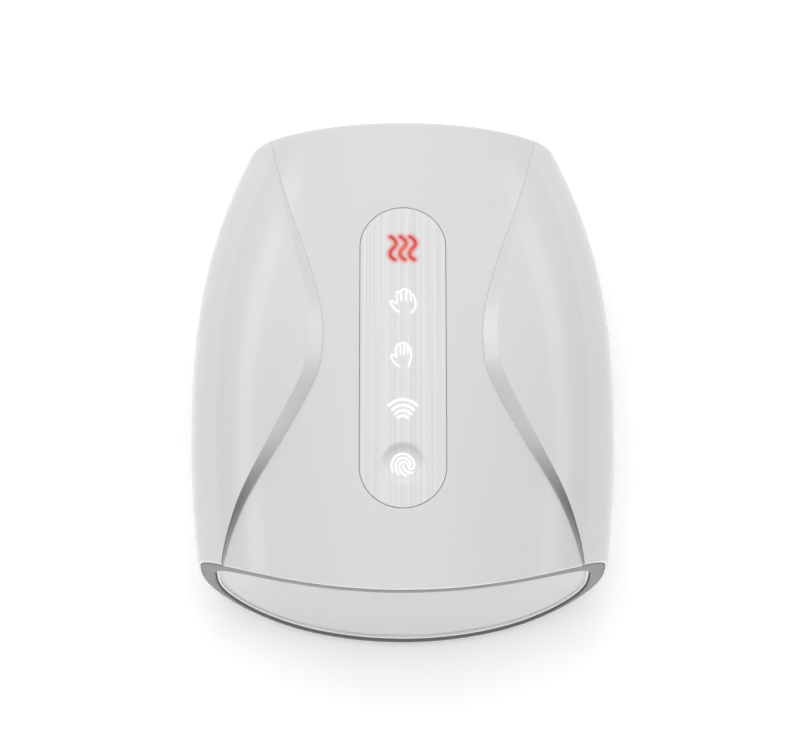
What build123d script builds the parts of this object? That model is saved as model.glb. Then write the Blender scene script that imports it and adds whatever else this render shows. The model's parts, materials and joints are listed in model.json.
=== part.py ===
from build123d import *
import math
import os

os.makedirs("parts", exist_ok=True)

# Hand massager: a glossy shell with a wide mouth for the hand at the front (-Y), a narrow closed
# back (+Y), a touch panel along the crown, and two air bags inside that press on the hand.
# Millimetres, +Z up, origin on the table under the middle of the shell.

# Body form
body_length = 195.2
body_width = 167.2
parting_height = 46.8
crown_rise = 48.2
crown_setback = 47.6
front_crown_drop = 1.0
back_crown_drop = 17.5
widest_setback = 75.6
front_corner_setback = 20.8
front_narrowing = 3.3
back_narrowing = 23.3
front_bow_radius = 165.0
back_bow_radius = 765.0
back_corner_setback = 2.4
keel_clearance = 0.8
keel_flat_length = 140.0
keel_back_lift = 12.0
wall = 2.6
overrun = 8.0
arch_power_share = 2.0
keel_front_power_share = 3.6
keel_back_power_share = 3.0
front_taper_power_share = 2.0
back_taper_power_share = 2.5
crown_taper_power_share = 1.9
section_steps = 4
fine_steps = 120
loft_steps = 6
mouth_loft_steps = 3
halving_steps = 40

# Raised side wings and the waist lines where they end
wing_power_gain_share = 0.45
wing_rise = 2.7
wing_edge_rise = 0.3
wing_peak_setback = 92.6
wing_front_reach = 85.0
wing_back_reach = 90.0
riser_slope_share = 1.73
riser_undercut = 3.0
waist_points_share = [(-0.55, 0.875), (-0.407, 0.822), (-0.306, 0.728), (-0.184, 0.553),
                      (-0.0625, 0.401), (0.011, 0.371), (0.091, 0.384), (0.195, 0.446),
                      (0.30, 0.525), (0.428, 0.606), (0.55, 0.66)]

# Mouth: shell lip, bezel and liner
lip_wall = 1.0
lip_floor = 0.8
bezel_depth = 5.0
bezel_side = 6.5
bezel_top = 6.4
bezel_floor = 3.0
bezel_neck_depth = 13.0
bezel_neck_wall = 1.4
seat_gap = 0.15
trim_setback = 1.2
trim_depth = 4.0
trim_width = 1.3
trim_gap = 0.2
liner_wall = 1.5
liner_gap = 0.5
throat_setback = 39.6
pocket_width = 118.0
pocket_floor_height = 44.0
pocket_ceiling_drop = 20.2

# Control panel on the crown
panel_length = 124.3
panel_width = 33.3
panel_setback = 31.7
panel_gap = 0.3
panel_thickness = 1.8
panel_ledge = 2.5
dimple_radius = 8.3
dimple_depth = 1.9
dimple_end_distance = 17.6
dimple_back_radius = 9.8
dimple_back_depth = 2.2
icon_spacing = 22.7
icon_count = 4
light_guide_depth = 2.6
light_well_radius = 6.0
touch_board_width = 40.0
touch_board_length = 122.0
touch_board_thickness = 0.8
touch_board_drop = 4.9
touch_boss_radius = 2.4
touch_boss_half_span = 41.0
touch_screw_radius = 0.8
touch_screw_head_radius = 1.7
touch_screw_head_height = 1.0
touch_screw_grip = 1.8
led_length = 2.0
led_width = 1.2
led_height = 0.8

# Soft clearances and plates round the pocket
soft_gap = 0.3
layer_side_inset = 3.5
pad_front_half_width = 54.0
pad_back_half_width = 45.0
pad_front_setback = 41.0
pad_back_setback = 32.0
pad_corner_radius = 12.0
pad_thickness = 3.1
sleeve_wall = 1.4
sleeve_side_gap = 3.0
sleeve_back_gap = 3.0
sleeve_bottom_height = 36.0
carrier_drop = 10.0
carrier_thickness = 1.6
carrier_half_width = 59.0
carrier_front_setback = 42.0
carrier_back_setback = 24.0
airbag_thickness = 3.5
airbag_front_half_width = 43.0
airbag_back_half_width = 34.0
airbag_front_setback = 51.0
airbag_back_setback = 44.0
airbag_seam_width = 4.0
airbag_seam_thickness = 0.9
film_thickness = 0.4
press_gap = 0.7
film_margin = 5.0
carrier_boss_radius = 3.0
carrier_screw_radius = 1.1
carrier_screw_head_radius = 2.3
carrier_screw_head_height = 1.3
carrier_screw_grip = 2.2
carrier_boss_front_x = 51.0
carrier_boss_back_x = 45.0
carrier_boss_front_setback = 58.0
carrier_boss_back_setback = 58.0
tray_height = 28.0
tray_thickness = 2.0
tray_front_setback = 47.0
tray_back_setback = 17.0
tray_side_gap = 0.6
nub_plate_thickness = 2.0
nub_height = 4.5
nub_base_radius = 4.6
nub_tip_radius = 3.4
nub_pitch = 15.5
nub_columns = 6
nub_rows = 7
peg_radius = 2.0
peg_hole_gap = 0.5
peg_length = 10.0
peg_collar_wall = 1.2
peg_collar_gap = 0.7
peg_front_x = 48.5
peg_back_x = 42.0
peg_front_setback = 50.5
peg_back_setback = 37.0
lower_travel = 6.0
upper_travel = 7.0

# Screw posts of the housings
post_radius = 4.8
post_bore_radius = 3.1
upper_post_radius = 3.8
housing_screw_radius = 1.4
housing_screw_head_radius = 2.7
housing_screw_head_height = 1.8
housing_screw_length = 18.0
screw_gap = 0.2
post_x_front = 64.0
post_x_back = 50.0
post_front_setback = 45.6
post_middle_setback = 131.6
post_back_setback = 17.6
tray_post_radius = 3.5
tray_screw_radius = 1.1
tray_screw_length = 9.0
tray_screw_head_radius = 2.3
tray_screw_head_height = 1.3
tray_post_front_x = 57.0
tray_post_back_x = 52.0
tray_post_front_setback = 53.0
tray_post_back_setback = 33.0

# Underside
foot_drop = 2.0
foot_radius = 7.0
foot_seat_depth = 1.0
foot_edge = 0.6
foot_x = 33.0
foot_front_setback = 36.0
foot_back_setback = 60.0
vent_length = 16.0
vent_width = 1.6
vent_pitch = 4.2
vent_count = 6
vent_setback = 88.0

# Main board
board_length = 100.0
board_width = 42.0
board_thickness = 1.6
board_height = 7.0
board_center_x = 1.0
board_front_setback = 57.6
board_post_radius = 2.6
board_post_inset = 4.0
board_screw_radius = 0.9
board_screw_length = 5.0
board_screw_head_radius = 1.9
board_screw_head_height = 1.1
chip_gap = 0.05
chip_table = {"controller": (9.0, 9.0, 1.2), "driver": (6.0, 5.0, 1.5), "charger": (5.0, 5.0, 1.2)}
chip_places_share = {"controller": (-0.16, 0.0), "driver": (0.10, 0.22), "charger": (-0.34, 0.25)}
connector_size = (8.0, 5.5, 5.5)
connector_places_share = [(-0.38, -0.28), (-0.22, -0.28), (-0.06, -0.28), (0.10, -0.28)]
capacitor_radius = 3.0
capacitor_height = 7.0
capacitor_places_share = [(-0.05, 0.25), (-0.20, 0.27)]

# Air valves, standing on the main board
valve_x = 43.0
valve_half_pitch = 8.5
valve_yoke_width = 11.0
valve_yoke_depth = 10.0
valve_yoke_sheet = 1.0
valve_height = 13.0
valve_coil_radius = 4.3
valve_coil_bore_radius = 2.2
valve_flange_thickness = 0.8
plunger_radius = 2.1
plunger_travel = 0.8
pole_radius = 2.1
pole_reach = 2.0
nozzle_radius = 1.3
nozzle_bore_radius = 0.7
nozzle_length = 4.0
valve_cap_height = 5.0
spring_wire_radius = 0.2
spring_radius = 1.1
spring_turns = 4
spring_seat_depth = 1.2

# Air pump
pump_setback = 113.6
pump_axis_height = 16.2
motor_radius = 10.2
motor_wall = 0.8
motor_length = 26.0
motor_left_x = -6.0
endcap_thickness = 2.0
shaft_radius = 1.0
shaft_clearance = 0.05
shaft_tail = 1.2
armature_radius = 7.0
armature_length = 13.0
armature_start = 4.0
commutator_radius = 2.6
commutator_length = 3.4
commutator_gap = 1.0
magnet_gap = 0.5
magnet_arc_share = 0.36
pump_radius = 10.8
pump_body_length = 14.0
pump_body_wall = 1.4
eccentric_radius = 4.6
eccentric_thickness = 3.4
eccentric_gap = 1.2
crank_pin_radius = 0.9
crank_pin_offset = 1.5
crank_pin_length = 4.2
rocker_thickness = 1.4
rocker_hole_radius = 2.9
rocker_radius = 8.4
cup_radius = 2.8
cup_ring_radius = 6.1
cup_count = 3
cup_height = 3.0
diaphragm_thickness = 1.0
pump_cap_length = 7.0
saddle_length = 8.0
saddle_width = 16.0
saddle_gap = 0.3

# Air lines
manifold_width = 6.0
manifold_height = 5.0
manifold_x = 61.0
manifold_end = 4.0
tube_radius = 2.1
tube_grip = 0.05
tube_end_gap = 0.3
lower_tube_setback = 75.6
upper_tube_setback = 89.6
airbag_tab_half_width = 4.5
riser_tube_bend_drop = 6.3
riser_tube_knee_x = 50.0
riser_tube_end_x = 35.0
riser_tube_bend_radius = 6.0
riser_tube_end_radius = 2.3

# Battery
cell_radius = 9.2
cell_length = 65.0
cell_gap = 0.6
cell_button_radius = 2.8
cell_button_height = 0.9
cell_front_setback = 136.8
cradle_wall = 2.0
cradle_height = 8.0
cradle_floor = 1.2
strap_width = 12.0
strap_thickness = 0.8
strap_gap = 0.2

# Charging inlet at the back, with no cord
socket_height = 22.0
socket_width = 8.9
socket_thickness = 3.3
socket_depth = 7.4
socket_sheet = 0.35
socket_tongue_width = 6.6
socket_tongue_thickness = 0.7
socket_tongue_length = 4.6
socket_gap = 0.3
socket_setback = 1.2
inlet_recess_margin = 1.6
inlet_recess_depth = 0.8
charge_board_width = 16.0
charge_board_length = 13.0
charge_board_thickness = 1.2
charge_post_radius = 2.0
charge_post_inset = 2.6

# Ribbon cable from the main board to the touch board
ribbon_width = 9.0
ribbon_thickness = 0.35
ribbon_x = -18.0
ribbon_height = 27.4
ribbon_back_setback = 13.5
ribbon_bend_radius = 3.0
ribbon_crown_drop = 7.4

# How a block or cylinder lies on its place: standing on it, or also reaching back from it
upright = (Align.CENTER, Align.CENTER, Align.MIN)
from_front = (Align.CENTER, Align.MIN, Align.MIN)

# Derived places
keel_depth = parting_height - keel_clearance
front_y = -body_length / 2
back_y = body_length / 2
widest_y = front_y + widest_setback
front_corner_y = front_y + front_corner_setback
back_corner_y = back_y - back_corner_setback
crown_y = front_y + crown_setback
keel_flat_y = front_y + keel_flat_length
wing_peak_y = front_y + wing_peak_setback
throat_y = front_y + throat_setback
floor_top = foot_drop + wall
panel_front_y = front_y + panel_setback
panel_center_y = panel_front_y + panel_length / 2
dimple_y = panel_front_y + dimple_end_distance
board_top = board_height + board_thickness
liner_setback = trim_setback + trim_depth + liner_gap
board_center_y = front_y + board_front_setback + board_width / 2
tray_top = tray_height + tray_thickness
lower_airbag_bottom = tray_top + soft_gap
nub_plate_bottom = lower_airbag_bottom + airbag_thickness + soft_gap
nub_plate_top = nub_plate_bottom + nub_plate_thickness
lower_pad_bottom = nub_plate_top + nub_height + soft_gap
film_drop = carrier_drop + carrier_thickness + soft_gap + airbag_thickness + press_gap
upper_pad_drop = film_drop + film_thickness + press_gap / 2
valve_nozzle_z = board_top + chip_gap + valve_height + valve_cap_height / 2
pump_y = front_y + pump_setback
lower_tube_y = front_y + lower_tube_setback
upper_tube_y = front_y + upper_tube_setback
cell_front_y = front_y + cell_front_setback
screw_seat_z = parting_height - housing_screw_length / 2


def half_width(y):
    """Half the body's width at the parting plane."""
    if y < widest_y:
        reach = (widest_y - y) / (widest_y - front_corner_y)
        return body_width / 2 - front_narrowing * reach ** front_taper_power_share
    reach = (y - widest_y) / (back_corner_y - widest_y)
    return body_width / 2 - back_narrowing * reach ** back_taper_power_share


def crown_height(y):
    """Height of the crown line above the parting plane."""
    if y < crown_y:
        reach = (crown_y - y) / (crown_y - front_y)
        return crown_rise - front_crown_drop * reach ** front_taper_power_share
    reach = (y - crown_y) / (back_corner_y - crown_y)
    return crown_rise - back_crown_drop * reach ** crown_taper_power_share


def keel_drop(y):
    """Depth of the underside below the parting plane."""
    reach = max(0, (y - keel_flat_y) / (back_y - keel_flat_y))
    return keel_depth - keel_back_lift * reach ** front_taper_power_share


def keel_power(y):
    """How square the lower half of the section is."""
    reach = (y - front_y) / body_length
    return keel_front_power_share + (keel_back_power_share - keel_front_power_share) * reach


def wing_share(y):
    """How far the side wings stand out of the crown, from nothing at the ends to one."""
    reach = wing_front_reach if y < wing_peak_y else wing_back_reach
    return max(0, 1 - ((y - wing_peak_y) / reach) ** 2)


def arch_z(x, y, drop, side=0):
    """Height of the crown's surface, lowered by drop, over the point x, y."""
    across = min(1, abs(x) / (half_width(y) - side))
    return parting_height + (crown_height(y) - drop) * math.sqrt(1 - across ** 2)


riser_tube_bend_z = arch_z(manifold_x + tube_radius, upper_tube_y, wall, wall) - riser_tube_bend_drop


def oval_point(half, rise, power, y, turn):
    """Point of a squared oval at station y, from the side (turn 0) to the crown (turn 1)."""
    angle = math.pi / 2 * turn
    x = half * max(0, math.cos(angle)) ** (2 / power)
    return Vector(x, y, parting_height + rise * math.sin(angle) ** (2 / power))


def even_points(half, rise, power, y):
    """Points evenly spaced along a quarter of the oval, and the quarter's length."""
    fine = [oval_point(half, rise, power, y, step / fine_steps) for step in range(fine_steps + 1)]
    reached = [0]
    for before, after in zip(fine, fine[1:]):
        reached.append(reached[-1] + (after - before).length)
    points = []
    for step in range(section_steps + 1):
        goal = reached[-1] * step / section_steps
        index = max(1, next(place for place, length in enumerate(reached) if length >= goal))
        share = (goal - reached[index - 1]) / (reached[index] - reached[index - 1])
        points.append(fine[index - 1] + (fine[index] - fine[index - 1]) * share)
    return points, reached[-1]


def half_oval(half, rise, power, y):
    """Two curves over (rise above zero) or under the parting plane, from +X to -X, at station y."""
    points, length = even_points(half, rise, power, y)
    points[0] = Vector(half, y, parting_height)
    points[-1] = Vector(0, y, parting_height + rise)
    left = [Vector(-point.X, y, point.Z) for point in reversed(points)]
    up = Vector(0, 0, math.copysign(1, rise))
    inward = Vector(-1, 0, 0)
    places = [length * step / section_steps for step in range(section_steps + 1)]
    right_edge = Edge.make_spline(points, tangents=[up, inward], parameters=places, scale=False)
    return [right_edge, Edge.make_spline(left, tangents=[inward, -up], parameters=places, scale=False)]


def stations(start, end, count=loft_steps):
    return [start + (end - start) * step / count for step in range(count + 1)]


def d_form(section, places):
    """Solid through D shapes whose flat side lies on the parting plane."""
    wires = []
    for y in places:
        right, left = section(y)
        chord = Edge.make_line(left @ 1, right @ 0)
        wires.append(Wire([right, left, chord]))
    return Solid.make_loft(wires)


def arch_form(side, top, start=front_y - overrun, end=back_y + overrun, count=loft_steps):
    """Upper half of the body without its wings, inset at the sides and the top."""
    return d_form(lambda y: half_oval(half_width(y) - side, crown_height(y) - top, arch_power_share, y),
                  stations(start, end, count))


def wing_form():
    """Upper half with the fuller shoulders that the wings are cut from."""
    def section(y):
        power = arch_power_share + wing_power_gain_share * wing_share(y)
        rise = crown_height(y) + wing_edge_rise + wing_rise * wing_share(y) ** 2
        return half_oval(half_width(y), rise, power, y)
    return d_form(section, stations(front_y - overrun, back_y + overrun))


def keel_form(side, bottom, start=front_y - overrun, end=back_y + overrun, count=loft_steps):
    """Lower half of the body, inset, with its flat underside."""
    form = d_form(lambda y: half_oval(half_width(y) - side, bottom - keel_drop(y), keel_power(y), y),
                  stations(start, end, count))
    flat = Pos(0, 0, foot_drop + bottom) * Box(body_width, 2 * body_length, body_width,
                                               align=(Align.CENTER, Align.CENTER, Align.MAX))
    return form - flat


def front_bow(setback):
    """Point on the axis and radius of the bowed front, moved back."""
    return front_y + front_bow_radius, front_bow_radius - setback


def plan_block(front_setback, back_setback):
    """Block between the bowed front and back, inset."""
    center_y, radius = front_bow(front_setback)
    front_disc = Pos(0, center_y) * Circle(radius)
    back_disc = Pos(0, back_y - back_bow_radius) * Circle(back_bow_radius - back_setback)
    side_strip = Pos(0, center_y) * Rectangle(2 * body_width, 2 * front_bow_radius)
    rear_half = Pos(0, center_y) * Rectangle(2 * body_width, body_length, align=(Align.CENTER, Align.MIN))
    outline = (front_disc + rear_half) & back_disc & side_strip
    return extrude(outline, 2 * body_width, both=True)


def front_band(start, end):
    """Slice of space that follows the bowed front, from start to end behind it."""
    center_y, radius = front_bow(start)
    ring = Circle(radius) - Circle(front_bow_radius - end)
    strip = Pos(0, -front_bow_radius) * Rectangle(2 * body_width, front_bow_radius,
                                                  align=(Align.CENTER, Align.MIN))
    return extrude(Pos(0, center_y) * (ring & strip), 2 * body_width, both=True)


def pill(inset):
    """Upright prism with the panel's outline, inset."""
    outline = SlotOverall(panel_length - 2 * inset, panel_width - 2 * inset, rotation=90)
    return extrude(Pos(0, panel_center_y) * outline, 2 * body_width)


def tapered_outline(front_half, back_half, start, end, radius):
    """Plan outline of a pad or bag: wider at the front, with rounded corners."""
    sketch = make_face(Polyline((front_half, start), (back_half, end), (-back_half, end),
                                (-front_half, start), close=True))
    return fillet(sketch.vertices(), radius)


def plug_at(x, y, bottom, top, radius):
    """Upright cylinder between two heights."""
    return Pos(x, y, bottom) * Cylinder(radius, top - bottom, align=upright)


def rod_along_x(start, end, y, z, radius):
    """Cylinder lying along X."""
    lying = Rot(0, 90, 0) * Cylinder(radius, end - start, align=upright)
    return Pos(start, y, z) * lying


def mirrored(places):
    return [(side * x, y) for x, y in places for side in (1, -1)]


def layer(outline, upper_drop, lower_drop):
    """Arched sheet under the crown with a plan outline."""
    block = extrude(outline, 2 * body_width)
    upper = arch_form(layer_side_inset, upper_drop)
    lower = arch_form(layer_side_inset, lower_drop)
    return (block & upper) - lower


housing_posts = mirrored([(post_x_front, front_y + post_front_setback),
                          (post_x_front, front_y + post_middle_setback),
                          (post_x_back, back_y - post_back_setback)])
tray_posts = mirrored([(tray_post_front_x, front_y + tray_post_front_setback),
                       (tray_post_back_x, back_y - tray_post_back_setback)])
carrier_bosses = mirrored([(carrier_boss_front_x, front_y + carrier_boss_front_setback),
                           (carrier_boss_back_x, back_y - carrier_boss_back_setback)])
pegs = mirrored([(peg_front_x, front_y + peg_front_setback), (peg_back_x, back_y - peg_back_setback)])
touch_bosses = mirrored([(touch_board_width / 2 - touch_boss_radius, panel_center_y - touch_boss_half_span),
                         (touch_board_width / 2 - touch_boss_radius, panel_center_y + touch_boss_half_span)])
board_posts = [(board_center_x + side * (board_length / 2 - board_post_inset),
                board_center_y + end * (board_width / 2 - board_post_inset))
               for side in (-1, 1) for end in (-1, 1)]
charge_posts = [(side * (charge_board_width / 2 - charge_post_inset),
                 back_y - wall - soft_gap - charge_board_length + charge_post_inset) for side in (-1, 1)]
feet = mirrored([(foot_x, front_y + foot_front_setback), (foot_x, back_y - foot_back_setback)])


def waist_cutter():
    """Space between the two waist lines, with sloping sides that meet the crown along them."""
    line = Edge.make_spline([Vector(x * body_width / 2, y * body_length) for y, x in waist_points_share])
    top_z = parting_height + crown_rise + wing_rise + overrun
    wires = []
    for y in stations(front_y - overrun / 2, back_y + overrun / 2, 2 * loft_steps):
        foot_x_here = line_x(line, y)
        foot_z = arch_z(foot_x_here, y, 0)
        low_z = foot_z - riser_undercut
        low_x = foot_x_here - riser_slope_share * riser_undercut
        top_x = foot_x_here + riser_slope_share * (top_z - foot_z)
        corners = [(low_x, y, low_z), (top_x, y, top_z), (-top_x, y, top_z), (-low_x, y, low_z)]
        wires.append(Wire.make_polygon([Vector(*corner) for corner in corners], close=True))
    return Solid.make_loft(wires)


def line_x(line, y):
    """Distance of the waist line from the middle at station y, found by halving."""
    low, high = 0.0, 1.0
    for _ in range(halving_steps):
        middle = (low + high) / 2
        if (line @ middle).Y < y:
            low = middle
        else:
            high = middle
    return (line @ low).X


def upper_housing():
    """Crown with its wings and waist lines, the panel's seat, and the posts inside."""
    groove = waist_cutter() - arch_form(0, 0)
    solid = (wing_form() - groove) & plan_block(0, 0)
    solid -= arch_form(wall, wall) & plan_block(-overrun, wall)
    ceiling = arch_form(wall / 2, wall / 2)
    posts = [(x, y, parting_height, upper_post_radius) for x, y in housing_posts]
    posts += [(x, y, carrier_boss_z(x, y), carrier_boss_radius) for x, y in carrier_bosses]
    posts += [(x, y, touch_boss_z(x, y), touch_boss_radius) for x, y in touch_bosses]
    for x, y, bottom, radius in posts:
        solid += plug_at(x, y, bottom, parting_height + crown_rise, radius) & ceiling
    for x, y in housing_posts:
        top = screw_seat_z + housing_screw_length + screw_gap
        solid -= plug_at(x, y, parting_height - overrun, top, housing_screw_radius)
    for x, y in carrier_bosses:
        top = carrier_boss_z(x, y) + carrier_screw_grip + screw_gap
        solid -= plug_at(x, y, parting_height, top, carrier_screw_radius + chip_gap)
    for x, y in touch_bosses:
        top = touch_boss_z(x, y) + touch_screw_grip + screw_gap
        solid -= plug_at(x, y, parting_height, top, touch_screw_radius + chip_gap)
    solid -= pill(-panel_gap) - arch_form(0, panel_thickness)
    solid -= pill(panel_ledge)
    rebate = arch_form(lip_wall, lip_wall, end=widest_y) & front_band(-overrun, bezel_depth + seat_gap)
    return solid - rebate


def lower_housing():
    """Tub with its screw posts, foot seats, air slots and the charging inlet's hole."""
    tub = keel_form(0, 0) & plan_block(0, 0)
    inside = keel_form(wall, wall) & plan_block(-overrun, wall)
    solid = tub - inside
    core = keel_form(wall / 2, wall / 2) & plan_block(0, wall / 2)
    posts = [(x, y, parting_height, post_radius) for x, y in housing_posts]
    posts += [(x, y, tray_height, tray_post_radius) for x, y in tray_posts]
    posts += [(x, y, board_height, board_post_radius) for x, y in board_posts]
    posts += [(x, y, charge_board_bottom, charge_post_radius) for x, y in charge_posts]
    for x, y, top, radius in posts:
        solid += plug_at(x, y, 0, top, radius) & core
    for x, y in housing_posts:
        solid -= plug_at(x, y, -overrun, screw_seat_z, post_bore_radius)
        solid -= plug_at(x, y, 0, parting_height + overrun, housing_screw_radius + screw_gap)
    for x, y in tray_posts:
        solid -= plug_at(x, y, tray_height - tray_screw_length, tray_height + overrun, tray_screw_radius)
    for x, y in board_posts:
        solid -= plug_at(x, y, board_top - board_screw_length, board_height + overrun, board_screw_radius)
    for x, y in feet:
        solid -= plug_at(x, y, 0, foot_drop + foot_seat_depth, foot_radius)
    for index in range(vent_count):
        x = (index - (vent_count - 1) / 2) * vent_pitch
        slot = SlotOverall(vent_length, vent_width, rotation=90)
        solid -= extrude(Pos(x, front_y + vent_setback) * slot, floor_top + overrun)
    hole = inlet_prism(socket_gap, back_y - 2 * wall, back_y + overrun)
    recess = inlet_prism(inlet_recess_margin, back_y - inlet_recess_depth, back_y + overrun)
    rebate = keel_form(lip_wall, lip_floor, end=widest_y) & front_band(-overrun, bezel_depth + seat_gap)
    return solid - hole - recess - rebate


charge_board_top = socket_height - socket_thickness / 2 - chip_gap
charge_board_bottom = charge_board_top - charge_board_thickness


def carrier_boss_z(x, y):
    return arch_z(x, y, (wall + carrier_drop) / 2, wall)


def touch_boss_z(x, y):
    """Height of a boss's end, just clear of the curved board under its whole foot."""
    near_x = abs(x) - touch_boss_radius
    ends = (y - touch_boss_radius, y + touch_boss_radius)
    return max(arch_z(near_x, end, touch_board_drop) for end in ends) + chip_gap


def inlet_prism(margin, start, end):
    """Rounded slot for the charging inlet, grown by a margin, running along Y."""
    width = socket_width + 2 * margin
    height = socket_thickness + 2 * margin
    slot = Pos(0, start, socket_height) * Rot(90, 0, 0) * SlotOverall(width, height)
    return extrude(slot, start - end)


def ring_form(side, top, bottom, start, end):
    """Closed barrel of the mouth, inset."""
    upper = arch_form(side, top, start, end, mouth_loft_steps)
    return upper + keel_form(side, bottom, start, end, mouth_loft_steps)


def entry_bezel():
    """Satin ring that follows the bowed mouth, with a thinner neck behind it."""
    start = front_y - overrun
    end = front_corner_y + bezel_neck_depth + overrun
    seat = ring_form(lip_wall + seat_gap, lip_wall + seat_gap, lip_floor + seat_gap, start, end)
    hole = ring_form(bezel_side, bezel_top, bezel_floor, start, end)
    neck_side = bezel_side - bezel_neck_wall
    neck_top = bezel_top - bezel_neck_wall
    neck = ring_form(neck_side, neck_top, wall + seat_gap, start, end)
    face = seat & front_band(0, bezel_depth)
    sleeve = neck & front_band(bezel_depth, bezel_neck_depth)
    return face + sleeve - hole


def smooth_step(value, start, end):
    share = min(1, max(0, (value - start) / (end - start)))
    return share * share * (3 - 2 * share)


def funnel_curve(y, grow, rise):
    """Upper or lower half of the liner's section at station y, from the mouth to the throat."""
    ease = smooth_step(y, front_y + liner_setback, throat_y)
    side_ease = smooth_step(y, front_corner_y + liner_setback, throat_y)
    mouth_half = half_width(y) - bezel_side - liner_gap
    half = mouth_half + (pocket_width / 2 - mouth_half) * side_ease + grow
    if rise > 0:
        mouth_rise = crown_height(y) - bezel_top - liner_gap
        throat_rise = crown_height(throat_y) - pocket_ceiling_drop
        height = mouth_rise + (throat_rise - mouth_rise) * ease + grow
        return half_oval(half, height, arch_power_share, y)
    mouth_drop = parting_height - foot_drop - bezel_floor - liner_gap
    throat_drop = parting_height - pocket_floor_height
    depth = mouth_drop + (throat_drop - mouth_drop) * ease + grow
    return half_oval(half, -depth, keel_power(y), y)


def funnel_form(grow):
    """Closed solid inside the liner's surface."""
    wires = []
    for y in stations(front_y - overrun, throat_y):
        wires.append(Wire(funnel_curve(y, grow, 1) + funnel_curve(y, grow, -1)))
    return Solid.make_loft(wires)


def entry_liner():
    """Fabric funnel from the bezel to the pocket."""
    sleeve = funnel_form(0) - funnel_form(-liner_wall)
    behind = plan_block(liner_setback, 0)
    return sleeve & behind


def entry_trim():
    """Thin bright ring that holds the liner's edge just inside the bezel."""
    start = front_y - overrun
    end = front_corner_y + trim_setback + trim_depth + overrun
    outer = bezel_side + trim_gap
    ring = ring_form(outer, bezel_top + trim_gap, bezel_floor + trim_gap, start, end)
    ring -= ring_form(outer + trim_width, bezel_top + trim_gap + trim_width,
                      bezel_floor + trim_gap + trim_width, start, end)
    return ring & front_band(trim_setback, trim_setback + trim_depth)


def pad_outline(inset, front_inset=0):
    return tapered_outline(pad_front_half_width - inset, pad_back_half_width - inset,
                           front_y + pad_front_setback + inset, back_y - pad_back_setback - inset,
                           pad_corner_radius)


def airbag_outline(inset):
    return tapered_outline(airbag_front_half_width - inset, airbag_back_half_width - inset,
                           front_y + airbag_front_setback + inset, back_y - airbag_back_setback - inset,
                           pad_corner_radius - inset)


def control_panel():
    """Glossy pill that carries the symbols and the dished touch key."""
    lens = (pill(0) & arch_form(0, 0)) - arch_form(0, panel_thickness - seat_gap)
    crown_z = arch_z(0, dimple_y, 0)
    lens += plug_at(0, dimple_y, crown_z - panel_thickness - dimple_back_depth,
                    crown_z - panel_thickness / 2, dimple_back_radius)
    ball_radius = (dimple_radius ** 2 + dimple_depth ** 2) / (2 * dimple_depth)
    return lens - Pos(0, dimple_y, crown_z - dimple_depth + ball_radius) * Sphere(ball_radius)


def icon_places():
    return [dimple_y + icon_spacing * (index + 1) for index in range(icon_count)]


def light_guide():
    """Tray under the panel with a well for the light of each symbol."""
    outline = pill(panel_ledge + soft_gap)
    body = (outline & arch_form(0, panel_thickness)) - arch_form(0, panel_thickness + light_guide_depth)
    body -= plug_at(0, dimple_y, 0, 2 * body_width, dimple_back_radius + soft_gap)
    for y in icon_places():
        body -= plug_at(0, y, 0, 2 * body_width, light_well_radius)
    return body


def touch_board():
    """Circuit board that follows the crown under the light guide."""
    outline = RectangleRounded(touch_board_width, touch_board_length, touch_boss_radius)
    block = extrude(Pos(0, panel_center_y) * outline, 2 * body_width)
    board = (block & arch_form(0, touch_board_drop)) - arch_form(0, touch_board_drop + touch_board_thickness)
    for x, y in touch_bosses:
        board -= plug_at(x, y, 0, 2 * body_width, touch_screw_radius + screw_gap)
    return board


def screw(x, y, top, length, radius, head_radius, head_height):
    """Screw whose shank points up from the underside of its head."""
    shank = plug_at(x, y, top - length, top, radius)
    return shank + plug_at(x, y, top - length - head_height, top - length, head_radius)


def group(solids):
    return Compound(children=list(solids))


def touch_screws():
    screws = []
    for x, y in touch_bosses:
        far_x = abs(x) + touch_screw_head_radius
        far_y = y + touch_screw_head_radius
        board_bottom = arch_z(far_x, far_y, touch_board_drop + touch_board_thickness) - chip_gap
        top = touch_boss_z(x, y) + touch_screw_grip
        screws.append(screw(x, y, top, top - board_bottom, touch_screw_radius,
                            touch_screw_head_radius, touch_screw_head_height))
    return group(screws)


def leds():
    lamps = []
    for y in icon_places():
        top = arch_z(0, y - led_width / 2, touch_board_drop) + led_height + chip_gap
        lamps.append(Pos(0, y, top) * Box(led_length, led_width, led_height - chip_gap,
                                         align=(Align.CENTER, Align.CENTER, Align.MAX)))
    return group(lamps)


def upper_carrier():
    """Arched tray under the crown that the upper air bag presses against."""
    back_half = carrier_half_width - (pad_front_half_width - pad_back_half_width)
    outline = tapered_outline(carrier_half_width, back_half, front_y + carrier_front_setback,
                              back_y - carrier_back_setback, pad_corner_radius)
    tray = layer(outline, carrier_drop, carrier_drop + carrier_thickness)
    inside = arch_form(layer_side_inset, carrier_drop + carrier_thickness / 2)
    for x, y in carrier_bosses:
        boss = plug_at(x, y, parting_height, carrier_boss_z(x, y), carrier_boss_radius)
        tray += boss - inside
        tray -= plug_at(x, y, 0, 2 * body_width, carrier_screw_radius + screw_gap)
    tray -= plug_at(riser_tube_end_x, upper_tube_y, 0, 2 * body_width, tube_radius + peg_hole_gap)
    return tray - tube_notch()


def tube_notch():
    """Way for the upper air tube over the edges of the carrier and the sleeve."""
    width = 2 * (tube_radius + peg_hole_gap)
    low = riser_tube_bend_z - 2 * tube_radius
    return Pos(riser_tube_knee_x - tube_radius, upper_tube_y, low) * Box(
        body_width, width, body_width, align=(Align.MIN, Align.CENTER, Align.MIN))


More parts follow.
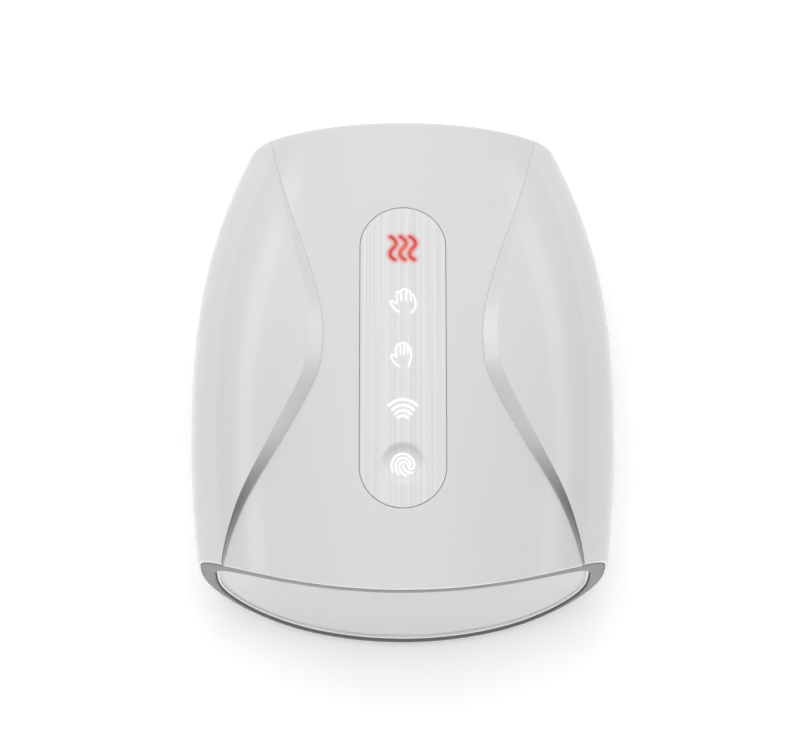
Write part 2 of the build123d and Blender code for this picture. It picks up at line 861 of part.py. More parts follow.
def carrier_screws():
    screws = []
    for x, y in carrier_bosses:
        low_x = abs(x) + carrier_screw_head_radius
        seat = arch_z(low_x, y, carrier_drop + carrier_thickness, layer_side_inset) - soft_gap
        top = carrier_boss_z(x, y) + carrier_screw_grip
        screws.append(screw(x, y, top, top - seat, carrier_screw_radius,
                            carrier_screw_head_radius, carrier_screw_head_height))
    return group(screws)


def upper_airbag():
    """Flat bag with a welded seam round it and a tab for its air line."""
    top = carrier_drop + carrier_thickness + soft_gap
    middle = top + airbag_thickness / 2
    bag = layer(airbag_outline(airbag_seam_width), top, top + airbag_thickness)
    seam = layer(airbag_outline(0), middle - airbag_seam_thickness / 2, middle + airbag_seam_thickness / 2)
    return bag + seam


def heating_film():
    return layer(pad_outline(film_margin), film_drop, film_drop + film_thickness)


def upper_pad():
    return layer(pad_outline(0), upper_pad_drop, upper_pad_drop + pad_thickness)


def lower_airbag():
    """Flat bag on the tray, with a tab that reaches its air line."""
    middle = lower_airbag_bottom + airbag_thickness / 2
    bag = Pos(0, 0, lower_airbag_bottom) * extrude(airbag_outline(airbag_seam_width), airbag_thickness)
    seam_bottom = middle - airbag_seam_thickness / 2
    bag += Pos(0, 0, seam_bottom) * extrude(airbag_outline(0), airbag_seam_thickness)
    tab_length = manifold_x + airbag_tab_half_width
    tab = Pos(tab_length / 2, lower_tube_y, lower_airbag_bottom) * Box(
        tab_length, 2 * airbag_tab_half_width, airbag_thickness, align=upright)
    return bag + tab


def nub_plate():
    """Massage plate with rows of rounded nubs and four guide pegs."""
    plate = Pos(0, 0, nub_plate_bottom) * extrude(pad_outline(0), nub_plate_thickness)
    for row in range(nub_rows):
        y = nub_row_y(row)
        columns = nub_columns - row % 2
        for column in range(columns):
            x = (column - (columns - 1) / 2) * nub_pitch
            nub = Pos(x, y, nub_plate_top - nub_plate_thickness / 2) * Cone(
                nub_base_radius, nub_tip_radius, nub_height + nub_plate_thickness / 2,
                align=upright)
            plate += nub
    for x, y in pegs:
        plate += plug_at(x, y, nub_plate_bottom - peg_length, nub_plate_top, peg_radius)
    return plate


def nub_row_y(row):
    """Place of a row of nubs along the plate."""
    middle = (front_y + pad_front_setback + back_y - pad_back_setback) / 2
    return middle + (row - (nub_rows - 1) / 2) * nub_pitch


def lower_pad():
    return Pos(0, 0, lower_pad_bottom) * extrude(pad_outline(0), pad_thickness)


def pocket_sleeve():
    """Fabric side and back walls of the hand pocket."""
    start = throat_y + soft_gap
    end = back_y - pad_back_setback + sleeve_back_gap + sleeve_wall
    pad_length = body_length - pad_front_setback - pad_back_setback
    taper_share = (pad_front_half_width - pad_back_half_width) / pad_length
    outer_front = pad_front_half_width + sleeve_side_gap + sleeve_wall + taper_share * body_width
    outer_back = pad_back_half_width + sleeve_side_gap + sleeve_wall
    outer = tapered_outline(outer_front, outer_back, start - body_width, end, pad_corner_radius)
    inner = tapered_outline(outer_front - sleeve_wall, outer_back - sleeve_wall, start - body_width,
                            end - sleeve_wall, pad_corner_radius)
    keep = Pos(0, start) * Rectangle(body_width, body_length, align=(Align.CENTER, Align.MIN))
    wall_block = extrude((outer - inner) & keep, body_width)
    wall_block = Pos(0, 0, sleeve_bottom_height) * wall_block
    under = arch_form(layer_side_inset, carrier_drop + carrier_thickness + soft_gap)
    lower_block = keel_form(layer_side_inset, layer_side_inset)
    return (wall_block & (under + lower_block)) - tube_notch()


def inner_tray():
    """Floor plate between the electronics and the pocket, with a collar round each guide peg."""
    slab = Pos(0, front_y + tray_front_setback, tray_height) * Box(
        body_width, body_length - tray_front_setback - tray_back_setback, tray_thickness,
        align=from_front)
    tray = slab & keel_form(wall + tray_side_gap, wall)
    for x, y in pegs:
        tray += plug_at(x, y, tray_height, nub_plate_bottom - peg_collar_gap,
                        peg_radius + peg_hole_gap + peg_collar_wall)
    for x, y in housing_posts:
        tray -= plug_at(x, y, 0, body_width, post_radius + tray_side_gap)
    for x, y in tray_posts:
        tray -= plug_at(x, y, 0, body_width, tray_screw_radius + screw_gap)
    for x, y in pegs:
        tray -= plug_at(x, y, 0, body_width, peg_radius + peg_hole_gap)
    for y in (lower_tube_y, upper_tube_y):
        tray -= plug_at(manifold_x, y, 0, body_width, tube_radius + peg_hole_gap)
    return tray


def tray_screws():
    """Screws that hold the tray on its posts, heads up."""
    screws = []
    for x, y in tray_posts:
        shank = plug_at(x, y, tray_top - tray_screw_length, tray_top, tray_screw_radius - screw_gap / 2)
        screws.append(shank + plug_at(x, y, tray_top, tray_top + tray_screw_head_height,
                                      tray_screw_head_radius))
    return group(screws)


def board_screws():
    screws = []
    for x, y in board_posts:
        shank = plug_at(x, y, board_top - board_screw_length, board_top, board_screw_radius - screw_gap / 2)
        screws.append(shank + plug_at(x, y, board_top, board_top + board_screw_head_height,
                                      board_screw_head_radius))
    return group(screws)


def housing_screws():
    top = screw_seat_z + housing_screw_length
    return group(screw(x, y, top, housing_screw_length, housing_screw_radius - screw_gap / 2,
                       housing_screw_head_radius, housing_screw_head_height) for x, y in housing_posts)


def rubber_feet():
    pads = []
    for x, y in feet:
        pad = plug_at(x, y, 0, foot_drop + foot_seat_depth - seat_gap, foot_radius - seat_gap)
        pads.append(chamfer(pad.edges().sort_by(Axis.Z)[0], foot_edge))
    return group(pads)


def main_board():
    board = Pos(board_center_x, board_center_y, board_height) * Box(
        board_length, board_width, board_thickness, align=upright)
    for x, y in board_posts:
        board -= plug_at(x, y, 0, body_width, board_screw_radius + screw_gap)
    return board


def on_board(share):
    """Place on the main board from shares of its length and width."""
    return board_center_x + share[0] * board_length, board_center_y + share[1] * board_width


def board_chips():
    chips = []
    for name, size in chip_table.items():
        x, y = on_board(chip_places_share[name])
        chips.append(Pos(x, y, board_top + chip_gap) * Box(*size, align=upright))
    return group(chips)


def board_connectors():
    """Open-topped plug sockets along the front edge of the board."""
    sockets = []
    length, width, height = connector_size
    for share in connector_places_share:
        x, y = on_board(share)
        shell = Box(length, width, height, align=upright)
        shell -= Pos(0, 0, chip_gap + board_thickness) * Box(
            length - board_thickness, width - board_thickness, height,
            align=upright)
        sockets.append(Pos(x, y, board_top + chip_gap) * shell)
    return group(sockets)


def board_capacitors():
    return group(plug_at(*on_board(share), board_top + chip_gap, board_top + capacitor_height,
                         capacitor_radius) for share in capacitor_places_share)


def valve_places():
    return [(valve_x, board_center_y - valve_half_pitch), (valve_x, board_center_y + valve_half_pitch)]


valve_bottom = board_top + chip_gap
valve_top = valve_bottom + valve_height
coil_bottom = valve_bottom + valve_yoke_sheet + chip_gap
coil_top = valve_top - valve_yoke_sheet - chip_gap
pole_bottom = valve_top - valve_yoke_sheet - pole_reach
plunger_top = pole_bottom - plunger_travel - chip_gap
plunger_bottom = coil_bottom + soft_gap


def valve_frames():
    """Bent steel yokes, open at two sides."""
    frames = []
    for x, y in valve_places():
        frame = Pos(x, y, valve_bottom) * Box(valve_yoke_depth, valve_yoke_width, valve_height,
                                              align=upright)
        frame -= Pos(x, y, valve_bottom + valve_yoke_sheet) * Box(
            valve_yoke_depth + overrun, valve_yoke_width - 2 * valve_yoke_sheet,
            valve_height - 2 * valve_yoke_sheet, align=upright)
        frame -= plug_at(x, y, valve_top - 2 * valve_yoke_sheet, valve_top + overrun,
                         pole_radius + shaft_clearance)
        frames.append(frame)
    return group(frames)


def valve_coils():
    """Flanged bobbins with their windings."""
    coils = []
    for x, y in valve_places():
        flange_radius = valve_yoke_width / 2 - valve_yoke_sheet - chip_gap
        coil = plug_at(x, y, coil_bottom, coil_top, valve_coil_radius)
        coil -= plug_at(x, y, coil_bottom + valve_flange_thickness, coil_top - valve_flange_thickness,
                        valve_coil_radius + overrun)
        coil += plug_at(x, y, coil_bottom, coil_bottom + valve_flange_thickness, flange_radius)
        coil += plug_at(x, y, coil_top - valve_flange_thickness, coil_top, flange_radius)
        coil += plug_at(x, y, coil_bottom, coil_top, valve_coil_radius - valve_flange_thickness / 2)
        coil -= plug_at(x, y, coil_bottom - overrun, coil_top + overrun, valve_coil_bore_radius)
        coils.append(coil)
    return group(coils)


def valve_caps():
    """Pole pieces with the air nozzle on their head."""
    caps = []
    for x, y in valve_places():
        cap = plug_at(x, y, valve_top + chip_gap, valve_top + valve_cap_height, valve_coil_radius)
        cap += plug_at(x, y, pole_bottom, valve_top + valve_cap_height / 2, pole_radius)
        nozzle_end = x + valve_coil_radius + nozzle_length
        cap += rod_along_x(x, nozzle_end, y, valve_nozzle_z, nozzle_radius)
        cap -= rod_along_x(x, nozzle_end + overrun, y, valve_nozzle_z, nozzle_bore_radius)
        cap -= plug_at(x, y, pole_bottom - overrun, valve_nozzle_z, nozzle_bore_radius)
        caps.append(cap)
    return group(caps)


def valve_plunger(index):
    x, y = valve_places()[index]
    body = plug_at(x, y, plunger_bottom, plunger_top, plunger_radius)
    return body - plug_at(x, y, plunger_top - spring_seat_depth, plunger_top + overrun,
                          spring_radius + 2 * spring_wire_radius)


def valve_spring(index):
    """Small return spring between the plunger and its pole."""
    x, y = valve_places()[index]
    bottom = plunger_top - spring_seat_depth + spring_wire_radius + chip_gap
    height = pole_bottom - bottom - spring_wire_radius - chip_gap
    path = Helix(height / spring_turns, height, spring_radius)
    wire = Plane(origin=path @ 0, z_dir=path % 0) * Circle(spring_wire_radius)
    return Pos(x, y, bottom) * sweep(wire, path)


def pump_x(offset):
    return motor_left_x + offset


motor_end = motor_length
body_end = motor_end + pump_body_length
cap_start = body_end + diaphragm_thickness
magnet_inner_radius = armature_radius + magnet_gap


def pump_rod(start, end, radius, y=0, z=0):
    """Rod along the pump's axis between two offsets from the motor's end, or beside the axis by y and z."""
    return rod_along_x(pump_x(start), pump_x(end), pump_y + y, pump_axis_height + z, radius)


def pump_motor_can():
    """Deep-drawn steel can, open towards the pump."""
    can = pump_rod(0, motor_length - endcap_thickness, motor_radius)
    can -= pump_rod(motor_wall, motor_length, motor_radius - motor_wall)
    return can - pump_rod(-overrun, motor_length, shaft_radius + shaft_clearance)


def pump_motor_cap():
    cap = pump_rod(motor_length - endcap_thickness, motor_length, motor_radius)
    return cap - pump_rod(0, 2 * motor_length, shaft_radius + shaft_clearance)


def pump_magnets():
    """Two curved magnets on the can's wall."""
    half_span = math.pi * magnet_arc_share
    outer = motor_radius - motor_wall - seat_gap
    ring = Circle(outer) - Circle(magnet_inner_radius)
    arcs = []
    for side in (1, -1):
        spokes = [(2 * outer * math.sin(turn * half_span), side * 2 * outer * math.cos(turn * half_span))
                  for turn in (-1, 0, 1)]
        sector = make_face(Polyline((0, 0), *spokes, close=True))
        piece = Rot(0, 90, 0) * extrude(ring & sector, armature_length)
        arcs.append(Pos(pump_x(armature_start), pump_y, pump_axis_height) * piece)
    return group(arcs)


def pump_rotor():
    """Shaft with its armature, commutator and eccentric crank."""
    eccentric_start = motor_end + pump_body_wall + eccentric_gap
    eccentric_end = eccentric_start + eccentric_thickness
    commutator_start = armature_start + armature_length + commutator_gap
    rotor = pump_rod(-shaft_tail, eccentric_end, shaft_radius)
    rotor += pump_rod(armature_start, armature_start + armature_length, armature_radius)
    rotor += pump_rod(commutator_start, commutator_start + commutator_length, commutator_radius)
    rotor += pump_rod(eccentric_start, eccentric_end, eccentric_radius)
    return rotor + pump_rod(eccentric_end, eccentric_end + crank_pin_length, crank_pin_radius,
                            z=crank_pin_offset)


def pump_body():
    """Cup that encloses the crank and carries the diaphragm."""
    body = pump_rod(motor_end, body_end, pump_radius)
    body -= pump_rod(motor_end + pump_body_wall, body_end + overrun, pump_radius - pump_body_wall)
    return body - pump_rod(0, body_end, shaft_radius + screw_gap)


def cup_places():
    return [(cup_ring_radius * math.cos(2 * math.pi * index / cup_count),
             cup_ring_radius * math.sin(2 * math.pi * index / cup_count)) for index in range(cup_count)]


def pump_diaphragm():
    """Rubber sheet with its cups, each on a stem that the rocker pulls."""
    sheet = pump_rod(body_end, cap_start, pump_radius)
    for y, z in cup_places():
        sheet += pump_rod(body_end - cup_height, body_end, cup_radius, y, z)
    return sheet


def pump_rocker():
    """Plate that the crank pin wobbles to work the cups."""
    end = body_end - cup_height - chip_gap
    plate = pump_rod(end - rocker_thickness, end, rocker_radius)
    return plate - pump_rod(0, body_end, rocker_hole_radius)


def pump_head():
    """Valve cap of the pump with its offset nozzle."""
    end = cap_start + pump_cap_length
    nozzle_end = manifold_x - manifold_width / 2 - 2 * nozzle_length
    cap = pump_rod(cap_start, end, pump_radius)
    cap += rod_along_x(pump_x(end), nozzle_end, pump_y, valve_nozzle_z, nozzle_radius)
    bore_start = pump_x(cap_start + pump_body_wall)
    return cap - rod_along_x(bore_start, nozzle_end + overrun, pump_y, valve_nozzle_z, nozzle_bore_radius)


def pump_saddles():
    """Rubber saddles that hold the pump off the floor."""
    saddles = []
    for start, radius in ((2 * saddle_gap, motor_radius), (body_end - saddle_length, pump_radius)):
        block = Pos(pump_x(start), pump_y, floor_top + saddle_gap) * Box(
            saddle_length, saddle_width, pump_axis_height - floor_top - motor_radius / 2,
            align=(Align.MIN, Align.CENTER, Align.MIN))
        saddles.append(block - pump_rod(-overrun, 2 * body_end, radius + saddle_gap))
    return group(saddles)


def barb_lines():
    """Start and end of each nozzle line along Y: two valves, then the pump."""
    lines = [(x + valve_coil_radius, y) for x, y in valve_places()]
    return lines + [(manifold_x - manifold_width / 2 - 3 * nozzle_length, pump_y)]


def air_manifold():
    """Bar that shares the pump's air between the bags and the valves."""
    start = valve_places()[0][1] - manifold_end
    end = pump_y + manifold_end
    bar = Pos(manifold_x, start, valve_nozzle_z) * Box(manifold_width, end - start, manifold_height,
                                                      align=(Align.CENTER, Align.MIN, Align.CENTER))
    for _, y in barb_lines():
        bar += rod_along_x(manifold_x - manifold_width / 2 - nozzle_length + tube_end_gap, manifold_x, y,
                           valve_nozzle_z, nozzle_radius)
    for y in (lower_tube_y, upper_tube_y):
        bar += plug_at(manifold_x, y, valve_nozzle_z, lower_airbag_bottom - 2 * tube_end_gap, nozzle_radius)
    return bar


def feed_tubes():
    """Short hoses between the nozzles of the valves and pump and the manifold."""
    tubes = []
    for start_x, y in barb_lines():
        start = start_x + tube_end_gap
        end = manifold_x - manifold_width / 2 - tube_end_gap
        tube = rod_along_x(start, end, y, valve_nozzle_z, tube_radius)
        tubes.append(tube - rod_along_x(start - overrun, end + overrun, y, valve_nozzle_z,
                                        nozzle_radius + tube_grip))
    return group(tubes)


manifold_top = valve_nozzle_z + manifold_height / 2


def lower_air_tube():
    """Short hose through the tray to the lower bag."""
    bottom = manifold_top + tube_end_gap
    tube = plug_at(manifold_x, lower_tube_y, bottom, lower_airbag_bottom - tube_end_gap, tube_radius)
    return tube - plug_at(manifold_x, lower_tube_y, 0, body_width, nozzle_radius + tube_grip)


def upper_air_tube():
    """Hose that rises beside the pocket and runs over the carrier to the upper bag."""
    bottom = manifold_top + tube_end_gap
    between = (wall + carrier_drop) / 2
    knee_z = arch_z(riser_tube_knee_x, upper_tube_y, between, wall)
    end_z = arch_z(riser_tube_end_x, upper_tube_y, between, wall)
    low_z = arch_z(riser_tube_end_x - tube_radius, upper_tube_y, carrier_drop + carrier_thickness,
                   layer_side_inset)
    path = FilletPolyline((manifold_x, upper_tube_y, bottom), (manifold_x, upper_tube_y, riser_tube_bend_z),
                          (riser_tube_knee_x, upper_tube_y, knee_z), (riser_tube_end_x, upper_tube_y, end_z),
                          (riser_tube_end_x, upper_tube_y, low_z),
                          radius=[riser_tube_bend_radius, riser_tube_bend_radius, riser_tube_end_radius])
    start = Plane(origin=path @ 0, z_dir=path % 0)
    return sweep(start * (Circle(tube_radius) - Circle(nozzle_radius + tube_grip)), path)


def cell_places():
    return [cell_front_y, cell_front_y + 2 * cell_radius + cell_gap]


cell_axis_height = floor_top + cradle_floor + cell_radius + 2 * soft_gap


def battery_cells():
    cells = []
    for index, y in enumerate(cell_places()):
        side = 1 - 2 * index
        cell = rod_along_x(-cell_length / 2, cell_length / 2, y, cell_axis_height, cell_radius)
        ends = sorted([side * cell_length / 2, side * (cell_length / 2 + cell_button_height)])
        cells.append(cell + rod_along_x(*ends, y, cell_axis_height, cell_button_radius))
    return group(cells)


def battery_cradle():
    """Trough that holds the cells on the tub's floor."""
    length = cell_length + 2 * (cradle_wall + cell_button_height + soft_gap)
    width = cell_places()[1] - cell_places()[0] + 2 * (cell_radius + cradle_wall + soft_gap)
    middle = sum(cell_places()) / 2
    cradle = Pos(0, middle, floor_top) * Box(length, width, cradle_height,
                                             align=upright)
    hold = length - 2 * cradle_wall
    for y in cell_places():
        cradle -= rod_along_x(-hold / 2, hold / 2, y, cell_axis_height, cell_radius + soft_gap)
    return cradle & keel_form(wall + soft_gap, wall)


def battery_strap():
    """Band over both cells, hooked on the cradle."""
    first, last = cell_places()
    reach = cell_radius + strap_gap
    low = floor_top + cradle_height + chip_gap
    top = cell_axis_height + reach
    width = last - first + 2 * reach
    middle = Pos((first + last) / 2, 0)
    outline = middle * Rectangle(width + 2 * strap_thickness, top + strap_thickness - low,
                                 align=(Align.CENTER, Align.MIN))
    band = fillet(outline.vertices().group_by(Axis.Y)[-1], cell_radius)
    hollow = middle * Rectangle(width, top - low, align=(Align.CENTER, Align.MIN))
    inner = fillet(hollow.vertices().group_by(Axis.Y)[-1], cell_radius - strap_thickness)
    profile = Plane.YZ.offset(-strap_width / 2) * (Pos(0, low) * (band - inner))
    return extrude(profile, strap_width)


def charging_socket():
    """Metal shell of the inlet with its contact tongue."""
    mouth = back_y - socket_setback
    shell = inlet_prism(0, mouth - socket_depth, mouth)
    shell -= inlet_prism(-socket_sheet, mouth - socket_depth + socket_sheet, mouth + overrun)
    tongue = Pos(0, mouth - socket_depth, socket_height) * Box(
        socket_tongue_width, socket_sheet + socket_tongue_length, socket_tongue_thickness,
        align=(Align.CENTER, Align.MIN, Align.CENTER))
    return shell + tongue


def charging_board():
    end = back_y - wall - soft_gap
    return Pos(0, end, charge_board_bottom) * Box(
        charge_board_width, charge_board_length, charge_board_thickness,
        align=(Align.CENTER, Align.MAX, Align.MIN))


def panel_ribbon():
    """Flat cable over the pump and cells, up the back and along the crown to the touch board."""
    start_y = board_center_y + board_width / 2 - board_post_inset
    back = back_y - ribbon_back_setback
    crown_z = arch_z(0, back, ribbon_crown_drop + ribbon_bend_radius, wall)
    end_y = panel_center_y + touch_board_length / 2
    end_z = arch_z(ribbon_x, end_y, ribbon_crown_drop)
    points = [(start_y, board_top + ribbon_thickness), (start_y, ribbon_height), (back, ribbon_height),
              (back, crown_z), (end_y, end_z)]
    line = FilletPolyline(*points, radius=ribbon_bend_radius)
    band = offset(line, ribbon_thickness / 2)
    return extrude(Plane.YZ.offset(ribbon_x - ribbon_width / 2) * make_face(band), ribbon_width)


makers = {
    "upper_housing": upper_housing,
    "lower_housing": lower_housing,
    "entry_bezel": entry_bezel,
    "entry_trim": entry_trim,
    "entry_liner": entry_liner,
    "pocket_sleeve": pocket_sleeve,
    "control_panel": control_panel,
    "light_guide": light_guide,
    "touch_board": touch_board,
    "touch_screws": touch_screws,
    "leds": leds,
    "upper_carrier": upper_carrier,
    "carrier_screws": carrier_screws,
    "upper_airbag": upper_airbag,
    "heating_film": heating_film,
    "upper_pad": upper_pad,
    "lower_airbag": lower_airbag,
    "nub_plate": nub_plate,
    "lower_pad": lower_pad,
    "inner_tray": inner_tray,
    "tray_screws": tray_screws,
    "main_board": main_board,
    "board_screws": board_screws,
    "board_chips": board_chips,
    "board_connectors": board_connectors,
    "board_capacitors": board_capacitors,
    "valve_frames": valve_frames,
    "valve_coils": valve_coils,
    "valve_caps": valve_caps,
    "lower_valve_plunger": lambda: valve_plunger(0),
    "lower_valve_spring": lambda: valve_spring(0),
    "upper_valve_plunger": lambda: valve_plunger(1),
    "upper_valve_spring": lambda: valve_spring(1),
    "pump_motor_can": pump_motor_can,
    "pump_motor_cap": pump_motor_cap,
    "pump_magnets": pump_magnets,
    "pump_rotor": pump_rotor,
    "pump_body": pump_body,
    "pump_rocker": pump_rocker,
    "pump_diaphragm": pump_diaphragm,
    "pump_head": pump_head,
    "pump_saddles": pump_saddles,
    "air_manifold": air_manifold,
    "feed_tubes": feed_tubes,
    "lower_air_tube": lower_air_tube,
    "upper_air_tube": upper_air_tube,
    "battery_cells": battery_cells,
    "battery_cradle": battery_cradle,
    "battery_strap": battery_strap,
    "charging_socket": charging_socket,
    "charging_board": charging_board,
    "panel_ribbon": panel_ribbon,
    "housing_screws": housing_screws,
    "rubber_feet": rubber_feet,
}

for name, maker in makers.items():
    export_step(maker(), "parts/" + name + ".step")
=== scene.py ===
# %% [markdown]
# # A hand massager in a glossy white shell
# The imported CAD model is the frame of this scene: it says where every part is and how it moves. This
# lesson dresses that frame. The shell, the grey mouth ring, the fabric inside and the lit panel are
# modelled again here with finer meshes, and the plain inner parts keep their CAD meshes and get
# better materials. All lengths are metres, with +Z up and the mouth towards -Y.

# %% Load the frame
import json
import math

import bmesh
import bpy
from mathutils import Matrix, Vector
from mathutils.kdtree import KDTree


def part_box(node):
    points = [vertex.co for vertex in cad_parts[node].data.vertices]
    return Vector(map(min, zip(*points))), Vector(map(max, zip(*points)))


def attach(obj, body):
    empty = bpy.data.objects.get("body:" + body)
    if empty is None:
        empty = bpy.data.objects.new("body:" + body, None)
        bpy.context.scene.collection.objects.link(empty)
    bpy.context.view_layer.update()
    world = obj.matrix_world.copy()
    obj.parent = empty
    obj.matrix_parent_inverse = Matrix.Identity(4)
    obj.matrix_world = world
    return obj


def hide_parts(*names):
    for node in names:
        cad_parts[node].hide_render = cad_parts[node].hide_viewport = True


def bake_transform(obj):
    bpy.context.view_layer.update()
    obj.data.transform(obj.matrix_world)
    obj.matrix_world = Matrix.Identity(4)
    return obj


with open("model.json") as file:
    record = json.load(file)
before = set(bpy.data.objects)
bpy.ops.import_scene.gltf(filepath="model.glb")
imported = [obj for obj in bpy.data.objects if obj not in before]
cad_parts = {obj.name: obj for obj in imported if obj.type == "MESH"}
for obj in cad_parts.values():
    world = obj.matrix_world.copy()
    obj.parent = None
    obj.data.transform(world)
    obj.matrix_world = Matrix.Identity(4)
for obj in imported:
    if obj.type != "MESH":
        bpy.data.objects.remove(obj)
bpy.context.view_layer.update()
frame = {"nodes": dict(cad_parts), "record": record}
MM = 0.001

# %% [markdown]
# ## The camera
# A long lens far away gives the flat perspective of a product photograph. It looks down steeply from
# the front, and a small step to the left puts the object a little right of the middle.

# %% Place the camera
camera_elevation = math.radians(73.19)
camera_distance = 1.5
camera_target = Vector((-2.1 * MM, 0.55 * MM, 46.8 * MM))
camera_lens_mm = 170.65

camera_data = bpy.data.cameras.new("camera")
camera_data.lens = camera_lens_mm
camera_data.clip_start = 0.05
camera = bpy.data.objects.new("camera", camera_data)
back = Vector((0, -math.cos(camera_elevation), math.sin(camera_elevation)))
camera.location = camera_target + back * camera_distance
camera.rotation_euler = (math.pi / 2 - camera_elevation, 0, 0)
bpy.context.scene.collection.objects.link(camera)
bpy.context.scene.camera = camera
print("camera looks down at %.0f degrees" % math.degrees(camera_elevation))

# %% [markdown]
# ## The body's form
# The shell is a barrel lying down: an oval section whose width and height change along the length.
# A few driving sizes describe it, and each piece below asks these helpers where the surface is.

# %% Sizes of the body
crown_low, crown_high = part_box("upper_housing")
tub_low, tub_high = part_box("lower_housing")
body_length = tub_high.y - tub_low.y
body_half_width = 83.6 * MM
parting_height = crown_low.z
crown_top = crown_high.z - parting_height
foot_drop = tub_low.z
front_y = tub_low.y
back_y = tub_high.y
wall = 2.6 * MM

widest_y = front_y + 75.6 * MM
crown_y = front_y + 47.6 * MM
front_corner_y = front_y + 20.8 * MM
back_corner_y = back_y - 2.4 * MM
keel_flat_y = front_y + 140.0 * MM
wing_peak_y = front_y + 92.6 * MM
front_bow_radius = 165.0 * MM
back_bow_radius = 765.0 * MM
mouth_narrowing, back_narrowing, back_narrowing_power = 3.3 * MM, 23.3 * MM, 2.5
mouth_sag, back_sag, back_sag_power = 1.0 * MM, 17.5 * MM, 1.9
keel_depth, keel_rise = 46.0 * MM, 12.0 * MM
mouth_squareness, squareness_loss = 3.6, 0.6
wing_reach_front, wing_reach_back = 85.0 * MM, 90.0 * MM
print("body %.1f mm long, crown %.1f mm over the parting plane" % (body_length / MM, crown_top / MM))


# %% Width, height and squareness along the length
def half_width(y):
    """Half the body's width at the parting plane."""
    if y < widest_y:
        return body_half_width - mouth_narrowing * ((widest_y - y) / (widest_y - front_corner_y)) ** 2
    reach = (y - widest_y) / (back_corner_y - widest_y)
    return body_half_width - back_narrowing * reach ** back_narrowing_power


def crown_rise(y):
    """Height of the crown line over the parting plane."""
    if y < crown_y:
        return crown_top - mouth_sag * ((crown_y - y) / (crown_y - front_y)) ** 2
    return crown_top - back_sag * ((y - crown_y) / (back_corner_y - crown_y)) ** back_sag_power


def keel_drop(y):
    """Depth of the rounded underside below the parting plane."""
    return keel_depth - keel_rise * max(0, (y - keel_flat_y) / (back_y - keel_flat_y)) ** 2


def keel_power(y):
    """How square the lower half is: 2 would be an ellipse."""
    return mouth_squareness - squareness_loss * (y - front_y) / body_length


def wing_share(y):
    """How far the side wings stand out, from nothing at the ends to one."""
    reach = wing_reach_front if y < wing_peak_y else wing_reach_back
    return max(0, 1 - ((y - wing_peak_y) / reach) ** 2)


def crown_z(x, y, drop=0.0, side=0.0):
    """Height of the crown over a point, lowered by drop and narrowed by side."""
    across = min(1, abs(x) / (half_width(y) - side))
    return parting_height + (crown_rise(y) - drop) * math.sqrt(1 - across ** 2)


def bow_front(x):
    """The mouth's edge is bowed: where it lies along Y at x."""
    return front_y + front_bow_radius - math.sqrt(front_bow_radius ** 2 - x ** 2)


def bow_back(x):
    return back_y - back_bow_radius + math.sqrt(back_bow_radius ** 2 - x ** 2)


# %% [markdown]
# ## The waist lines
# On each side a raised wing ends in a steep little slope, and its foot draws the curved waist line
# that gives the object its look. The foot line is a smooth curve through a few places, each a share
# of the length and of the width, and the slope rises from it until it meets the wing.

# %% The waist line and the slope beside it
waist_places = [(-0.55, 0.875), (-0.407, 0.822), (-0.306, 0.728), (-0.184, 0.553), (-0.0625, 0.401),
                (0.011, 0.371), (0.091, 0.384), (0.195, 0.446), (0.30, 0.525), (0.428, 0.606),
                (0.55, 0.66)]
riser_slope = 1.73
crease_depth = 0.3 * MM
crease_half_width = 0.2 * MM
slope_blend, edge_blend = 0.1 * MM, 0.12 * MM
wing_fullness, wing_base, wing_lift = 0.45, 0.3 * MM, 2.7 * MM
widest_slope = 14 * MM
halving_rounds = 24


def waist_x(y):
    """Distance of the waist line's foot from the middle: a smooth curve through the places."""
    share = y / body_length
    knots = [place[0] for place in waist_places]
    spans = [index for index in range(len(knots) - 1) if knots[index] <= share]
    index = min(spans[-1] if spans else 0, len(knots) - 2)

    def lean(place):
        low, high = max(0, place - 1), min(len(knots) - 1, place + 1)
        return (waist_places[high][1] - waist_places[low][1]) / (knots[high] - knots[low])

    width = knots[index + 1] - knots[index]
    t = (share - knots[index]) / width
    rise = (waist_places[index][1] * (2 * t ** 3 - 3 * t ** 2 + 1)
            + waist_places[index + 1][1] * (3 * t ** 2 - 2 * t ** 3)
            + lean(index) * width * (t ** 3 - 2 * t ** 2 + t)
            + lean(index + 1) * width * (t ** 3 - t ** 2))
    return rise * body_half_width


def wing_power(y):
    return 2 + wing_fullness * wing_share(y)


def wing_z(x, y):
    """Height of the fuller shoulder that the wing is cut from."""
    power = wing_power(y)
    rise = crown_rise(y) + wing_base + wing_lift * wing_share(y) ** 2
    across = min(1, abs(x) / half_width(y))
    return parting_height + rise * (1 - across ** power) ** (1 / power)


def soft_pick(a, b, blend, sign):
    """The larger (sign 1) or smaller (sign -1) of two heights, with a rounded change over."""
    share = max(0, blend - abs(a - b)) / blend
    return (max(a, b) if sign > 0 else min(a, b)) + sign * share * share * blend / 4


def top_z(x, y):
    """Height of the finished upper shell: crown, slope, then wing."""
    foot = waist_x(y)
    riser = crown_z(foot, y) + (abs(x) - foot) / riser_slope
    low = soft_pick(crown_z(x, y), riser, slope_blend, 1) if abs(x) > foot * 0.8 else crown_z(x, y)
    low -= crease_depth * max(0, 1 - (abs(abs(x) - foot) / crease_half_width) ** 2)
    wing = wing_z(x, y)
    return soft_pick(low, wing, edge_blend, -1) if low > wing - MM else low


def riser_top_x(y):
    """Where the slope meets the wing."""
    foot = waist_x(y)
    low, high = foot, foot + widest_slope
    for _ in range(halving_rounds):
        middle = (low + high) / 2
        if crown_z(foot, y) + (middle - foot) / riser_slope < wing_z(middle, y):
            low = middle
        else:
            high = middle
    return low


